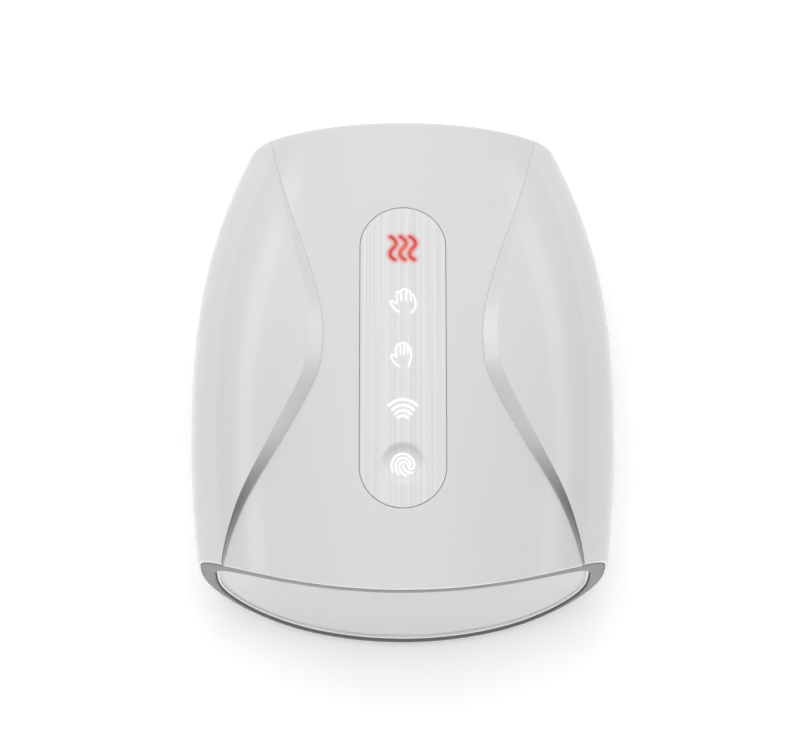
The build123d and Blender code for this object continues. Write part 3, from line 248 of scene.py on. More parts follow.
# %% [markdown]
# ## A grid that is laid on a form
# Every shell here starts as a flat grid. Each row of the grid becomes one trip round the section,
# and each point is moved to its place on the form. Rows can turn round an edge and come back on the
# inside, so one grid gives a shell its outside, its rounded lip and its inside.

# %% Helpers for grids, cuts and objects
def moulded_grid(columns, rows, place, cloth=None):
    """A flat grid whose points are moved to place(column, row); cloth is its cut size for a UV map."""
    bm = bmesh.new()
    bmesh.ops.create_grid(bm, x_segments=columns, y_segments=rows, size=1)
    if cloth:
        cut = bm.loops.layers.uv.new("cloth")
        for face in bm.faces:
            for loop in face.loops:
                across, along = (loop.vert.co.x + 1) / 2, (loop.vert.co.y + 1) / 2
                loop[cut].uv = (across * cloth[0], along * cloth[1])
    for vert in bm.verts:
        column = round((vert.co.x + 1) / 2 * columns)
        row = round((vert.co.y + 1) / 2 * rows)
        vert.co = place(column, row)
    return bm


def close_up(bm, merge=1e-6):
    """Merge doubled points, fill flat openings and turn the faces outwards."""
    bmesh.ops.remove_doubles(bm, verts=bm.verts, dist=merge)
    bmesh.ops.dissolve_degenerate(bm, edges=bm.edges, dist=merge)
    loose = [edge for edge in bm.edges if edge.is_boundary]
    if loose:
        bmesh.ops.holes_fill(bm, edges=loose, sides=0)
    bmesh.ops.recalc_face_normals(bm, faces=bm.faces)


def piece_from(bm, name, sharp_angle=35):
    """Make an object at the origin with smooth faces and sharp creases."""
    limit = math.radians(sharp_angle)
    for edge in bm.edges:
        if len(edge.link_faces) == 2 and edge.calc_face_angle(0) > limit:
            edge.smooth = False
    for face in bm.faces:
        face.smooth = True
    mesh = bpy.data.meshes.new(name)
    bm.to_mesh(mesh)
    bm.free()
    piece = bpy.data.objects.new(name, mesh)
    bpy.context.scene.collection.objects.link(piece)
    print(name, len(mesh.vertices), "points")
    return piece


def new_layer(bm, faces):
    """Extrude the faces and give the points of their new layer."""
    made = bmesh.ops.extrude_face_region(bm, geom=faces)
    return [item for item in made["geom"] if isinstance(item, bmesh.types.BMVert)]


def cut_with(bm, cutter, operation="DIFFERENCE"):
    """Cut one closed mesh with another and give the result back as a bmesh."""
    holders = []
    for source in (bm, cutter):
        mesh = bpy.data.meshes.new("cut")
        source.to_mesh(mesh)
        source.free()
        holder = bpy.data.objects.new("cut", mesh)
        bpy.context.scene.collection.objects.link(holder)
        holders.append(holder)
    change = holders[0].modifiers.new("cut", "BOOLEAN")
    change.object = holders[1]
    change.operation = operation
    change.solver = "EXACT"
    graph = bpy.context.evaluated_depsgraph_get()
    result = bmesh.new()
    result.from_mesh(bpy.data.meshes.new_from_object(holders[0].evaluated_get(graph)))
    for holder in holders:
        bpy.data.objects.remove(holder)
    return result


def between(low, high, share):
    return low + (high - low) * share


def smooth_share(value, start, end):
    """Share of the way from start to end, eased at both ends."""
    share = min(1, max(0, (value - start) / (end - start)))
    return share * share * (3 - 2 * share)


def quarter_turns(steps):
    """The (1 - cos, 1 - sin) of a quarter turn, step by step, for rounded corners."""
    turns = [math.pi / 2 * step / steps for step in range(steps + 1)]
    return [(1 - math.cos(turn), 1 - math.sin(turn)) for turn in turns]


# %% Even spacing round an oval quarter
def spaced(line, goals):
    """Points on a fine line; goals(length) gives how far along it each one lies."""
    reached = [0]
    for before, after in zip(line, line[1:]):
        reached.append(reached[-1] + math.dist(before, after))
    points, place = [], 1
    for goal in goals(reached[-1]):
        while place < len(line) - 1 and reached[place] < goal:
            place += 1
        share = (goal - reached[place - 1]) / (reached[place] - reached[place - 1])
        points.append(tuple(between(line[place - 1][i], line[place][i], share) for i in range(2)))
    return points


oval_steps = 160


def oval_quarter(half, rise, power, count):
    """Points from the side of a squared oval to its top or bottom, evenly spaced along it."""
    turns = [math.pi / 2 * step / oval_steps for step in range(oval_steps + 1)]
    fine = [(half * max(0, math.cos(turn)) ** (2 / power), rise * math.sin(turn) ** (2 / power))
            for turn in turns]
    points = spaced(fine, lambda length: [length * step / count for step in range(count + 1)])
    points[0], points[-1] = (half, 0.0), (0.0, rise)
    return points


def mirrored(points):
    """A half section from the side to the middle, and its mirror image back to the other side."""
    return points + [(-x, z) for x, z in reversed(points[:-1])]


# %% Tables of sections, so that a point can be looked up between two stations
station_step, station_margin = 1.0 * MM, 2 * MM
station_start = front_y - station_margin
station_count = int((body_length + 2 * station_margin) / station_step) + 1
settle_rounds = 5


def section_table(section):
    """The section's points at every station along the body."""
    return [section(station_start + index * station_step) for index in range(station_count)]


def look_up(table, column, y):
    place = min(max((y - station_start) / station_step, 0), station_count - 1.001)
    index = int(place)
    before, after = table[index][column], table[index + 1][column]
    return between(before[0], after[0], place - index), between(before[1], after[1], place - index)


def on_bows(table, column, share, front_setback, back_setback, pinch=(0.0, 0.0), scale=1.0):
    """Place of a grid point: on the section's column, between the bowed front and back."""
    y = between(front_y, back_y, share)
    for _ in range(settle_rounds):
        x, z = look_up(table, column, y)
        half, rise = half_width(y), crown_rise(y) if z >= 0 else keel_drop(y)
        x *= (half - pinch[0]) / half * scale
        z *= (rise - pinch[1]) / rise * scale
        y = between(bow_front(x) + front_setback, bow_back(x) - back_setback, share)
    return Vector((x, y, parting_height + z))


# %% [markdown]
# ## Upper shell
# The crown carries the wings and the seat of the panel. Its section has three stretches on each
# side: wing, slope and crown, and each keeps the same columns of the grid all along the body, so the
# waist line is one clean row of edges from front to back. The rows start on the closed back, run
# forwards over the outside, turn round the thin lip at the mouth and come back on the inside.

# %% Sections of the upper shell
wing_columns, crown_columns, wing_steps = 27, 30, 200
seam_edge = 0.35 * MM
slope_margin, narrow_slope = 1.2 * MM, 1.6 * MM
edge_places = [0.6 * MM, 0.3 * MM, 0.12 * MM, 0.0]
foot_places = [0.6 * MM, 0.3 * MM, 0.2 * MM, 0.1 * MM, 0.0]
slope_middle = 5


def slope_places(foot, top):
    """Places across the slope, close together at its edge and at its foot."""
    squeeze = min(1, (top - foot) / narrow_slope)
    places = [top + slope_margin] + [top + step for step in edge_places]
    places += [top - step * squeeze for step in reversed(edge_places[:-1])]
    start, end = places[-1], foot + foot_places[0] * squeeze
    places += [between(start, end, step / slope_middle) for step in range(1, slope_middle)]
    places += [foot + step * squeeze for step in foot_places]
    return places + [foot - step for step in reversed(foot_places[:-1])]


slope_columns = len(slope_places(0, 1))


def upper_section(y):
    """Right half of the section from the side to the crown, then mirrored to the left."""
    foot, top = waist_x(y), riser_top_x(y)
    edge = top + slope_margin
    shoulder = oval_quarter(half_width(y), wing_z(0, y) - parting_height, wing_power(y), wing_steps)
    fine = [point for point in shoulder if point[0] > edge]
    fine.append((edge, wing_z(edge, y) - parting_height))
    points = spaced(fine, lambda length: [
        length * (step - 1) / (wing_columns - 1) if step > 1 else step * seam_edge
        for step in range(wing_columns)])
    places = slope_places(foot, top)
    places += [(foot - slope_margin) * (1 - step / crown_columns) for step in range(crown_columns + 1)]
    return mirrored(points + [(x, top_z(x, y) - parting_height) for x in places])


def plain_crown(count):
    """Sections of the bare crown, without the wings, with count columns on each side."""
    return lambda y: mirrored(oval_quarter(half_width(y), crown_rise(y), 2, count))


upper_columns = 2 * (wing_columns + slope_columns + crown_columns)
upper_table = section_table(upper_section)
plain_upper_table = section_table(plain_crown(upper_columns // 2))
print("upper section has", upper_columns, "columns")

# %% Rows of a shell: back, outside, lip, inside
lip_wall = 1.0 * MM
bezel_depth = 5.0 * MM
seat_gap = 0.15 * MM
back_round = 1.6 * MM
lip_round = 0.35 * MM
back_rings, corner_steps, lip_steps = 8, 4, 3


def shell_rows(lip_top, body_rows):
    """Each row: which surface, share along the body, setbacks, pinch of width and height, scale."""
    step_back = bezel_depth + seat_gap
    inner_rows = body_rows // 2
    half_lip = (lip_wall - lip_round / 2, lip_top - lip_round / 2)
    rows = [("outer", 1, 0, 0, (back_round, back_round), ring / back_rings) for ring in range(back_rings)]
    rows += [("outer", 1, 0, back_round * along, (back_round * across, back_round * across), 1)
             for along, across in quarter_turns(corner_steps)]
    rows += [("outer", 1 - step / body_rows, lip_round, back_round, (0, 0), 1)
             for step in range(1, body_rows)]
    rows += [("outer", 0, lip_round * along, 0, (lip_round * across, lip_round * across), 1)
             for across, along in quarter_turns(lip_steps)]
    rows += [("outer", 0, 0, 0, half_lip, 1), ("outer", 0, lip_round / 2, 0, (lip_wall, lip_top), 1),
             ("outer", 0, step_back, 0, (lip_wall, lip_top), 1),
             ("inner", 0, step_back, 0, (wall, wall), 1)]
    rows += [("inner", step / inner_rows, step_back, wall, (wall, wall), 1)
             for step in range(1, inner_rows + 1)]
    return rows + [("inner", 1, 0, wall, (wall, wall), 1 - ring / corner_steps)
                   for ring in range(1, corner_steps + 1)]


# %% Lay the upper shell's grid
upper_rows = shell_rows(lip_wall, 120)
seam_round = 0.25 * MM


def seam_groove(point, at_seam, share):
    """Draw the outside's last points in, so that the two shells meet in a rounded groove."""
    if at_seam:
        point.x -= math.copysign(min(seam_round, abs(point.x)), point.x)
        point.y -= seam_round if share == 1 else 0
    return point


def upper_place(column, row):
    surface, share, *rest = upper_rows[row]
    point = on_bows(upper_table if surface == "outer" else plain_upper_table, column, share, *rest)
    return seam_groove(point, surface == "outer" and column in (0, upper_columns), share)


upper_shell_bm = moulded_grid(upper_columns, len(upper_rows) - 1, upper_place)
close_up(upper_shell_bm)

# %% [markdown]
# The panel sits in a pill-shaped seat with a ledge round a through opening. Both are cut with pill
# columns: loops of one outline at several heights. A flare at the top breaks the seat's sharp edge,
# and the seat's floor follows the curved crown.

# %% Pill columns and the panel's seat
panel_low, panel_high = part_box("control_panel")
panel_half = (panel_high.x - panel_low.x) / 2
panel_length = panel_high.y - panel_low.y
panel_mid_y = (panel_high.y + panel_low.y) / 2
panel_gap, seat_flare = 0.24 * MM, 0.15 * MM
panel_thickness, panel_ledge = 1.8 * MM, 2.5 * MM
column_foot, column_head = 6 * MM, -4 * MM
pill_points = 48


def pill_outline(inset):
    """Points round a pill, anticlockwise, with straight sides cut up so that they can bend."""
    radius = panel_half - inset
    straight = panel_length / 2 - panel_half
    points = []
    for end in (1, -1):
        for step in range(pill_points + 1):
            turn = math.pi * step / pill_points + (0 if end > 0 else math.pi)
            points.append((radius * math.cos(turn), panel_mid_y + end * straight + radius * math.sin(turn)))
        side = -end * radius
        for step in range(1, pill_points):
            points.append((side, panel_mid_y + end * straight * (1 - 2 * step / pill_points)))
    return points


def pill_column(levels):
    """Closed column through pill loops; a level is an inset and how far below the crown it lies."""
    bm = bmesh.new()
    loops = []
    for inset, drop in levels:
        loop = [bm.verts.new((x, y, crown_z(x, y, drop))) for x, y in pill_outline(inset)]
        loops.append([bm.edges.new((loop[i], loop[(i + 1) % len(loop)])) for i in range(len(loop))])
    for low, high in zip(loops, loops[1:]):
        bmesh.ops.bridge_loops(bm, edges=low + high)
    close_up(bm)
    return bm


seat_edge = -panel_gap - 2 * seat_flare
seat_bm = pill_column([(panel_ledge, column_foot), (panel_ledge, panel_thickness),
                       (-panel_gap, panel_thickness), (-panel_gap, seat_flare), (seat_edge, -seat_flare),
                       (seat_edge, column_head)])
upper_shell = piece_from(cut_with(upper_shell_bm, seat_bm), "shell_crown")

# %% [markdown]
# The slopes get a metallic share that is small at the waist and grows towards the mouth. It is painted
# shade: the metal shows its darker surroundings, so the slopes darken towards the mouth, and at the
# waist its small share gives a painted highlight. It has no thickness, so each point of a slope
# stores how strong it is, and the shell's material reads that value.

# %% Paint shade on the slopes as a metallic share
# Where the slopes' painted shade starts, where it is full, and how much of it stays at the waist
slope_shade_start_y, slope_shade_full_y = -30 * MM, -64 * MM
slope_shade_at_waist = 0.12
crown_margin, slope_edge = 0.5 * MM, 0.02 * MM


def paint_slope_shade(piece):
    """Store on each point of the slope how strong its painted shade is: hardly at the waist, fully near the
    mouth.
    """
    band = piece.data.attributes.new("slope_painted_shade", "FLOAT", "POINT")
    for index, vert in enumerate(piece.data.vertices):
        x, y, z = vert.co
        foot = waist_x(y)
        above = z > crown_z(x, y) - crown_margin
        if above and foot - slope_edge < abs(x) < riser_top_x(y) + slope_edge:
            reach = smooth_share(-y, -slope_shade_start_y, -slope_shade_full_y)
            band.data[index].value = between(slope_shade_at_waist, 1.0, reach)


paint_slope_shade(upper_shell)
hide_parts("upper_housing")
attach(upper_shell, "base")

# %% [markdown]
# ## Lower shell
# The tub below has squarer sides and a flat underside that stands on rubber feet. It is laid in the
# same way, and then the air slots, the screw wells, the seats of the feet and the hole of the
# charging inlet are cut with one set of cutters.

# %% Lay the lower shell's grid
lower_half_columns = 40
lip_floor = 0.8 * MM
underside_blend = 0.6 * MM


def lower_section(y):
    points = oval_quarter(half_width(y), -keel_drop(y), keel_power(y), lower_half_columns - 1)
    step = math.dist(points[0], points[1])
    points.insert(1, tuple(between(a, b, seam_edge / step) for a, b in zip(points[0], points[1])))
    return mirrored(points)


lower_table = section_table(lower_section)
lower_rows = shell_rows(lip_floor, 110)
lower_columns = 2 * lower_half_columns


def lower_place(column, row):
    surface, share, front_setback, back_setback, pinch, scale = lower_rows[row]
    point = on_bows(lower_table, column, share, front_setback, back_setback, pinch, scale)
    flat_top = foot_drop + (pinch[1] if scale == 1 else 0)
    point.z = soft_pick(point.z, flat_top, underside_blend, 1)
    return seam_groove(point, surface == "outer" and column in (0, lower_columns), share)


lower_shell_bm = moulded_grid(lower_columns, len(lower_rows) - 1, lower_place)
close_up(lower_shell_bm)

# %% Cutters for slots, wells, seats and the inlet
bar_segments = 48


def round_bar(cutters, x, y, low, high, radius, stretch=0.0):
    """Add an upright bar; a stretch makes it a slot along Y."""
    made = bmesh.ops.create_cone(cutters, cap_ends=True, segments=bar_segments, radius1=radius,
                                 radius2=radius, depth=high - low)
    for vert in made["verts"]:
        if abs(vert.co.y) > 1e-9:
            vert.co.y += math.copysign(stretch / 2, vert.co.y)
        vert.co += Vector((x, y, (low + high) / 2))


def lying_slot(cutters, width, height, start, end, z):
    """Add a rounded slot that runs along Y."""
    made = bmesh.ops.create_cone(cutters, cap_ends=True, segments=bar_segments, radius1=height / 2,
                                 radius2=height / 2, depth=end - start)
    for vert in made["verts"]:
        x, y, depth = vert.co
        side = math.copysign((width - height) / 2, x) if abs(x) > 1e-9 else 0
        vert.co = Vector((x + side, (start + end) / 2 - depth, z + y))


foot_low, foot_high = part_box("rubber_feet")
socket_low, socket_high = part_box("charging_socket")
post_places = [(side * x * MM, front_y + setback * MM) for x, setback in
               ((64, 45.6), (64, 131.6), (50, 177.6)) for side in (1, -1)]
well_radius, foot_radius, cutter_top = 3.1 * MM, 7.0 * MM, 9 * MM
foot_seats = [(side * (foot_high.x - foot_radius), y) for side in (1, -1)
              for y in (foot_low.y + foot_radius, foot_high.y - foot_radius)]
slot_count, slot_pitch, slot_radius, slot_stretch = 6, 4.2 * MM, 0.8 * MM, 14.4 * MM
slot_y = front_y + 88 * MM
inlet_width, inlet_height, inlet_margin, recess_depth = 9.5 * MM, 3.9 * MM, 2.6 * MM, 0.8 * MM
socket_z = (socket_low.z + socket_high.z) / 2
cutters = bmesh.new()
for x, y in post_places:
    round_bar(cutters, x, y, -8 * MM, cutter_top, well_radius)
for x, y in foot_seats:
    round_bar(cutters, x, y, -MM, foot_drop + MM, foot_radius)
for index in range(slot_count):
    x = (index - (slot_count - 1) / 2) * slot_pitch
    round_bar(cutters, x, slot_y, -MM, cutter_top, slot_radius, slot_stretch)
lying_slot(cutters, inlet_width, inlet_height, back_y - 6 * MM, back_y + 4 * MM, socket_z)
lower_shell_bm = cut_with(lower_shell_bm, cutters)
recess = bmesh.new()
lying_slot(recess, inlet_width + inlet_margin, inlet_height + inlet_margin, back_y - recess_depth,
           back_y + 4 * MM, socket_z)
lower_shell = piece_from(cut_with(lower_shell_bm, recess), "shell_tub")
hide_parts("lower_housing")
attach(lower_shell, "base")

# %% [markdown]
# ## Mouth ring and trim
# A satin grey ring lines the mouth. Its profile is a short loop of points, each a distance behind
# the bowed front and a pinch of the section, and every profile point becomes one closed trip round
# the mouth. The thin white trim just inside is made in the same way.

# %% Rings that follow the mouth
ring_half_columns = 52


def ring_lower(y):
    points = mirrored(oval_quarter(half_width(y), -keel_drop(y), keel_power(y), ring_half_columns))
    return points[::-1]


ring_upper_table = section_table(plain_crown(ring_half_columns))
ring_lower_table = section_table(ring_lower)
ring_columns = 4 * ring_half_columns
ring_edge, ring_floor = 1.15 * MM, 0.95 * MM
ring_depth = 5.0 * MM
corner_thinning, floor_thinning = 0.55, 0.4


def thinner_below(side, column):
    """The ring's side narrows towards its floor, where the whole ring is thin."""
    low = abs(look_up(ring_lower_table, column, front_y)[1]) / keel_drop(front_y)
    return ring_edge + (side - ring_edge) * (1 - corner_thinning * low ** 2)


def thinner_floor(floor):
    """The ring's face is lower under the mouth than its hidden neck."""
    return ring_floor + (floor - ring_floor) * (1 - floor_thinning)


def ring_point(column, setback, side, top, floor):
    """Place on the mouth's section, behind the bowed front, pinched at side, top and floor."""
    if column <= 2 * ring_half_columns:
        return on_bows(ring_upper_table, column, 0, setback, 0, (side, top))
    column -= 2 * ring_half_columns
    if setback < ring_depth:
        floor = thinner_floor(floor)
    point = on_bows(ring_lower_table, column, 0, setback, 0, (thinner_below(side, column), floor))
    point.z = soft_pick(point.z, foot_drop + floor, underside_blend, 1)
    return point


def mouth_ring(name, profile):
    """Closed ring through profile points (setback, side, top, floor)."""
    closed = profile + [profile[0]]
    bm = moulded_grid(ring_columns, len(closed) - 1,
                      lambda column, row: ring_point(column % ring_columns, *closed[row]))
    close_up(bm, 2e-6)
    return piece_from(bm, name)


def blend_pinch(outer, inner, share):
    return tuple(between(a, b, share) for a, b in zip(outer, inner))


bezel_outer = (ring_edge, 1.15 * MM, ring_floor)
bezel_inner = (6.5 * MM, 6.4 * MM, 3.0 * MM)
neck_outer = (5.1 * MM, 5.0 * MM, 2.75 * MM)
neck_depth = 13 * MM
edge_share, edge_depth = 0.10, 0.5 * MM
bezel_profile = [(edge_depth * along, *blend_pinch(bezel_outer, bezel_inner, edge_share * across))
                 for across, along in quarter_turns(corner_steps)]
bezel_profile += [(edge_depth * along, *blend_pinch(bezel_outer, bezel_inner, 1 - edge_share * across))
                  for along, across in quarter_turns(corner_steps)]
bezel_profile += [(neck_depth, *bezel_inner), (neck_depth, *neck_outer), (ring_depth, *neck_outer),
                  (ring_depth, *bezel_outer)]
bezel = mouth_ring("mouth_ring", bezel_profile)
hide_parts("entry_bezel")
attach(bezel, "base")

# %% The bright trim inside the ring
trim_outer = (6.7 * MM, 6.6 * MM, 3.2 * MM)
trim_width, trim_flange = 1.3 * MM, 0.28 * MM
trim_front, trim_step, trim_back = 1.2 * MM, 2.5 * MM, 5.2 * MM
bead_steps = 8


def trim_point(setback, across):
    return setback, *(value + across for value in trim_outer)


bead_turns = [math.pi * step / bead_steps for step in range(bead_steps + 1)]
trim_profile = [trim_point(trim_front + trim_width / 2 * (1 - math.sin(turn)),
                           trim_width / 2 * (1 - math.cos(turn))) for turn in bead_turns]
trim_profile += [trim_point(trim_step, trim_width), trim_point(trim_step, trim_flange),
                 trim_point(trim_back, trim_flange), trim_point(trim_back, 0)]
trim = mouth_ring("mouth_trim", trim_profile)
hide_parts("entry_trim")
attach(trim, "base")

# %% [markdown]
# ## Fabric funnel
# Behind the trim a smooth knitted lining leads the hand to the pocket. It narrows from the mouth's
# wide oval to the throat. It is one sheet with a real thickness, eased so that it leaves the ring
# at a slope, with no ledge that would catch a shadow, and arrives straight at the throat.

# %% The funnel
liner_start = 2.6 * MM
funnel_floor = thinner_floor(3.6 * MM)
throat_y = front_y + 39.6 * MM
throat_half = 59.0 * MM
throat_rise = crown_rise(throat_y) - 20.2 * MM
throat_drop = parting_height - 44.0 * MM
liner_wall, liner_edge = 1.5 * MM, 0.8 * MM
liner_lift = 0.6
funnel_side, funnel_top = 7.0 * MM, 6.9 * MM
full_wall_share = 0.3


def funnel_point(column, share, shrink):
    """Place on the funnel: the ring's own section at the bowed start, the throat's oval at the end."""
    upper = column <= 2 * ring_half_columns
    ease = smooth_share(share, 0, 1) + liner_lift * share * (1 - share) ** 2
    y = between(front_y, throat_y, share)
    for _ in range(settle_rounds):
        half = half_width(y)
        if upper:
            x, z = look_up(ring_upper_table, column, y)
            mouth_side = funnel_side
            mouth_z = z * (crown_rise(y) - funnel_top - shrink) / crown_rise(y)
            throat_z = z * (throat_rise - shrink) / crown_rise(y)
        else:
            x, z = look_up(ring_lower_table, column - 2 * ring_half_columns, y)
            mouth_side = thinner_below(funnel_side, column - 2 * ring_half_columns)
            low = parting_height + z * (keel_drop(y) - funnel_floor - shrink) / keel_drop(y)
            mouth_z = soft_pick(low, foot_drop + funnel_floor + shrink, underside_blend, 1) - parting_height
            throat_z = z * (throat_drop - shrink) / keel_drop(y)
        x *= between(half - mouth_side - shrink, throat_half - shrink, ease) / half
        z = between(mouth_z, throat_z, ease)
        y = between(bow_front(x) + liner_start, throat_y, share)
    return Vector((x, y, parting_height + z))


def lining_wall(share):
    """Thin at the trim, full further in."""
    return between(liner_edge, liner_wall, min(1, share / full_wall_share))


liner_rows = 24
liner_profile = [(step / liner_rows, lining_wall(step / liner_rows)) for step in range(liner_rows + 1)]
liner_profile += [(1 - step / liner_rows, 0.0) for step in range(liner_rows + 1)]
liner_profile.append(liner_profile[0])


def cloth_lengths(columns, rows, place):
    """Mean length of the cloth's rows, mean length of its columns, and its area."""
    points = [[place(column, row) for column in range(columns + 1)] for row in range(rows + 1)]
    wide = sum((b - a).length for line in points for a, b in zip(line, line[1:])) / (rows + 1)
    deep = sum((b - a).length for low, high in zip(points, points[1:])
               for a, b in zip(low, high)) / (columns + 1)
    area = sum((high[i] - low[i + 1]).cross(high[i + 1] - low[i]).length / 2
               for low, high in zip(points, points[1:]) for i in range(columns))
    return wide, deep, area


def funnel_middle(column, row):
    return funnel_point(column % ring_columns, row / liner_rows, liner_wall / 2)


liner_cut = cloth_lengths(ring_columns, liner_rows, funnel_middle)
liner_bm = moulded_grid(ring_columns, len(liner_profile) - 1,
                        lambda column, row: funnel_point(column % ring_columns, *liner_profile[row]),
                        (liner_cut[0], 2 * liner_cut[1]))
close_up(liner_bm, 2e-6)
liner = piece_from(liner_bm, "mouth_lining")
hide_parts("entry_liner")
min(liner_cut[2], liner_cut[0] * liner_cut[1])
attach(liner, "base")
print("lining cut %.0f by %.0f mm" % (liner_cut[0] / MM, liner_cut[1] / MM))

# %% [markdown]
# ## Control panel
# The panel is a pill of clear-coated plastic with fine lengthwise lines. A dense grid takes the
# crown's height minus a round dish for the finger, and a flared pill column trims it to shape.

# %% The panel with its dished touch key
dish_radius = 8.3 * MM
dish_depth = 1.9 * MM
dish_y = panel_low.y + 17.6 * MM
dish_power = 4.0
dish_rim, rim_blend = 1.3, 0.35 * MM


def dish_drop(x, y):
    """Depth of the finger dish below the crown: a flat middle and a steeper wall."""
    reach = math.hypot(x, y - dish_y) / dish_radius
    return soft_pick(dish_depth * (1 - reach ** dish_power), 0.0, rim_blend, 1) if reach < dish_rim else 0.0


panel_rows, panel_columns = 300, 84
panel_margin, panel_chamfer = 0.5 * MM, 0.16 * MM
panel_underside, dish_underside = 1.65 * MM, 1.2


def panel_place(column, row):
    x = between(-panel_half - panel_margin, panel_half + panel_margin, column / panel_columns)
    y = between(panel_low.y - panel_margin, panel_high.y + panel_margin, row / panel_rows)
    return Vector((x, y, crown_z(x, y) - dish_drop(x, y)))


panel_bm = moulded_grid(panel_columns, panel_rows, panel_place)
for vert in new_layer(panel_bm, list(panel_bm.faces)):
    x, y = vert.co.xy
    vert.co.z = crown_z(x, y, panel_underside + dish_underside * dish_drop(x, y))
bmesh.ops.recalc_face_normals(panel_bm, faces=panel_bm.faces)
trim_column = pill_column([(0, column_foot), (0, panel_chamfer), (2 * panel_chamfer, -panel_chamfer),
                           (2 * panel_chamfer, column_head)])
panel = piece_from(cut_with(panel_bm, trim_column, "INTERSECT"), "touch_panel")
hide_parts("control_panel")
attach(panel, "base")

# %% [markdown]
# ## Lit symbols
# The symbols glow through the panel. Each is a set of strokes: a stroke is a flat ribbon with round
# ends that follows a path and is then laid on the panel's surface, so it bends with the crown and
# sinks into the dish. The light also bleeds a little into the plastic round each stroke, so the
# panel's points store how near the light is, and the panel's material tints them.

# %% Ribbons laid on the panel
symbol_lift = 0.03 * MM
ribbon_depth = 0.2 * MM
path_steps = 8
cap_steps = 6


def smooth_path(places):
    """A fine path in millimetres through a few places."""
    fine = []
    count = len(places)
    for index in range(count - 1):
        p0 = places[max(0, index - 1)]
        p1, p2 = places[index], places[index + 1]
        p3 = places[min(count - 1, index + 2)]
        for step in range(path_steps):
            t = step / path_steps
            fine.append(tuple(0.5 * (2 * p1[i] + (p2[i] - p0[i]) * t
                                     + (2 * p0[i] - 5 * p1[i] + 4 * p2[i] - p3[i]) * t * t
                                     + (3 * p1[i] - p0[i] - 3 * p2[i] + p3[i]) * t ** 3)
                              for i in range(2)))
    return fine + [places[-1]]


def on_panel(x, y, lift):
    return Vector((x, y, crown_z(x, y) - dish_drop(x, y) + lift))


def add_stroke(bm, path, width, middle_y):
    """Add one ribbon; path is in millimetres round the symbol's middle, width in millimetres."""
    left, right = [], []
    for index, (x, y) in enumerate(path):
        ahead = path[min(index + 1, len(path) - 1)]
        behind = path[max(index - 1, 0)]
        along = Vector((ahead[0] - behind[0], ahead[1] - behind[1], 0)).normalized()
        across = Vector((-along.y, along.x, 0)) * width / 2
        left.append((x + across.x, y + across.y))
        right.append((x - across.x, y - across.y))

    def cap(centre, first):
        base = math.atan2(first[1] - centre[1], first[0] - centre[0])
        turns = [base - math.pi * step / cap_steps for step in range(1, cap_steps)]
        return [(centre[0] + width / 2 * math.cos(turn), centre[1] + width / 2 * math.sin(turn))
                for turn in turns]

    outline = left + cap(path[-1], left[-1]) + right[::-1] + cap(path[0], right[0])
    low = [bm.verts.new(on_panel(x * MM, middle_y + y * MM, -ribbon_depth)) for x, y in outline]
    for vert in new_layer(bm, [bm.faces.new(low)]):
        vert.co.z += ribbon_depth + symbol_lift


light_marks = {"red_light": [], "white_light": []}


def symbol(name, strokes, middle_y, width, light):
    """One lit symbol; light names the glow that it gives the panel round it."""
    bm = bmesh.new()
    for places in strokes:
        path = smooth_path(places)
        add_stroke(bm, path, width, middle_y)
        light_marks[light] += [(x * MM, middle_y + y * MM, width * MM / 2) for x, y in path]
    bmesh.ops.recalc_face_normals(bm, faces=bm.faces)
    piece = piece_from(bm, name)
    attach(piece, "base")
    return piece


# %% Heat: three waves
wave = [(-1.0, 4.9), (0.2, 4.0), (1.1, 2.4), (0.7, 0.8), (-0.5, -0.6), (-1.1, -2.0), (-1.0, -3.3),
        (-0.3, -4.3), (0.6, -4.9)]
waves = [[(x + shift, y) for x, y in wave] for shift in (-3.8, 0.1, 3.8)]
heat_y = dish_y + 89.1 * MM
heat = symbol("symbol_heat", waves, heat_y, 1.02, "red_light")

# %% Palm and fingers: two open hands drawn in outline
large_hand = [
    [(-1.4, -4.7), (-2.7, -4.0), (-3.8, -2.6), (-4.7, -1.2), (-4.9, -0.5), (-4.5, 0.0), (-3.7, -0.5),
     (-3.0, -1.1), (-2.4, -0.9)],
    [(-2.4, -0.9), (-2.4, 0.9), (-2.5, 2.6), (-2.3, 3.6), (-1.7, 3.8), (-1.1, 3.5), (-0.7, 2.4), (-0.6, 0.1)],
    [(-1.0, 3.8), (-0.2, 4.7), (0.7, 5.0), (1.5, 4.6), (1.3, 2.4), (1.2, 0.2)],
    [(1.5, 4.6), (2.4, 4.2), (2.9, 3.2), (3.1, 1.5), (3.3, -0.1)],
    [(3.1, 2.8), (3.7, 2.7), (4.2, 2.2), (4.7, 0.7), (4.9, -1.6), (4.6, -3.3), (3.9, -4.4), (3.1, -5.0)]]
small_hand = [
    [(-1.4, -4.9), (-2.7, -4.1), (-3.8, -2.6), (-4.4, -1.2), (-4.5, -0.5), (-4.2, 0.0), (-3.5, -0.2),
     (-2.7, -0.9)],
    [(-2.5, -1.1), (-2.8, 1.0), (-2.7, 2.7), (-2.3, 3.8), (-1.6, 4.3), (-1.1, 3.5), (-0.9, 1.8), (-0.9, 0.1)],
    [(-1.4, 4.3), (-0.7, 4.7), (-0.1, 4.9), (0.5, 4.6), (0.5, 2.4), (0.5, 0.1)],
    [(0.6, 4.5), (1.4, 4.3), (1.9, 3.5), (1.9, 1.8), (1.8, 0.4)],
    [(2.0, 3.5), (2.6, 2.9), (3.0, 1.6), (3.1, -0.9), (2.7, -2.9), (2.2, -4.9)]]
palm_y, fingers_y = dish_y + 66.5 * MM, dish_y + 44.0 * MM
palm = symbol("symbol_hand_large", large_hand, palm_y, 0.5, "white_light")
fingers = symbol("symbol_hand_small", small_hand, fingers_y, 0.44, "white_light")

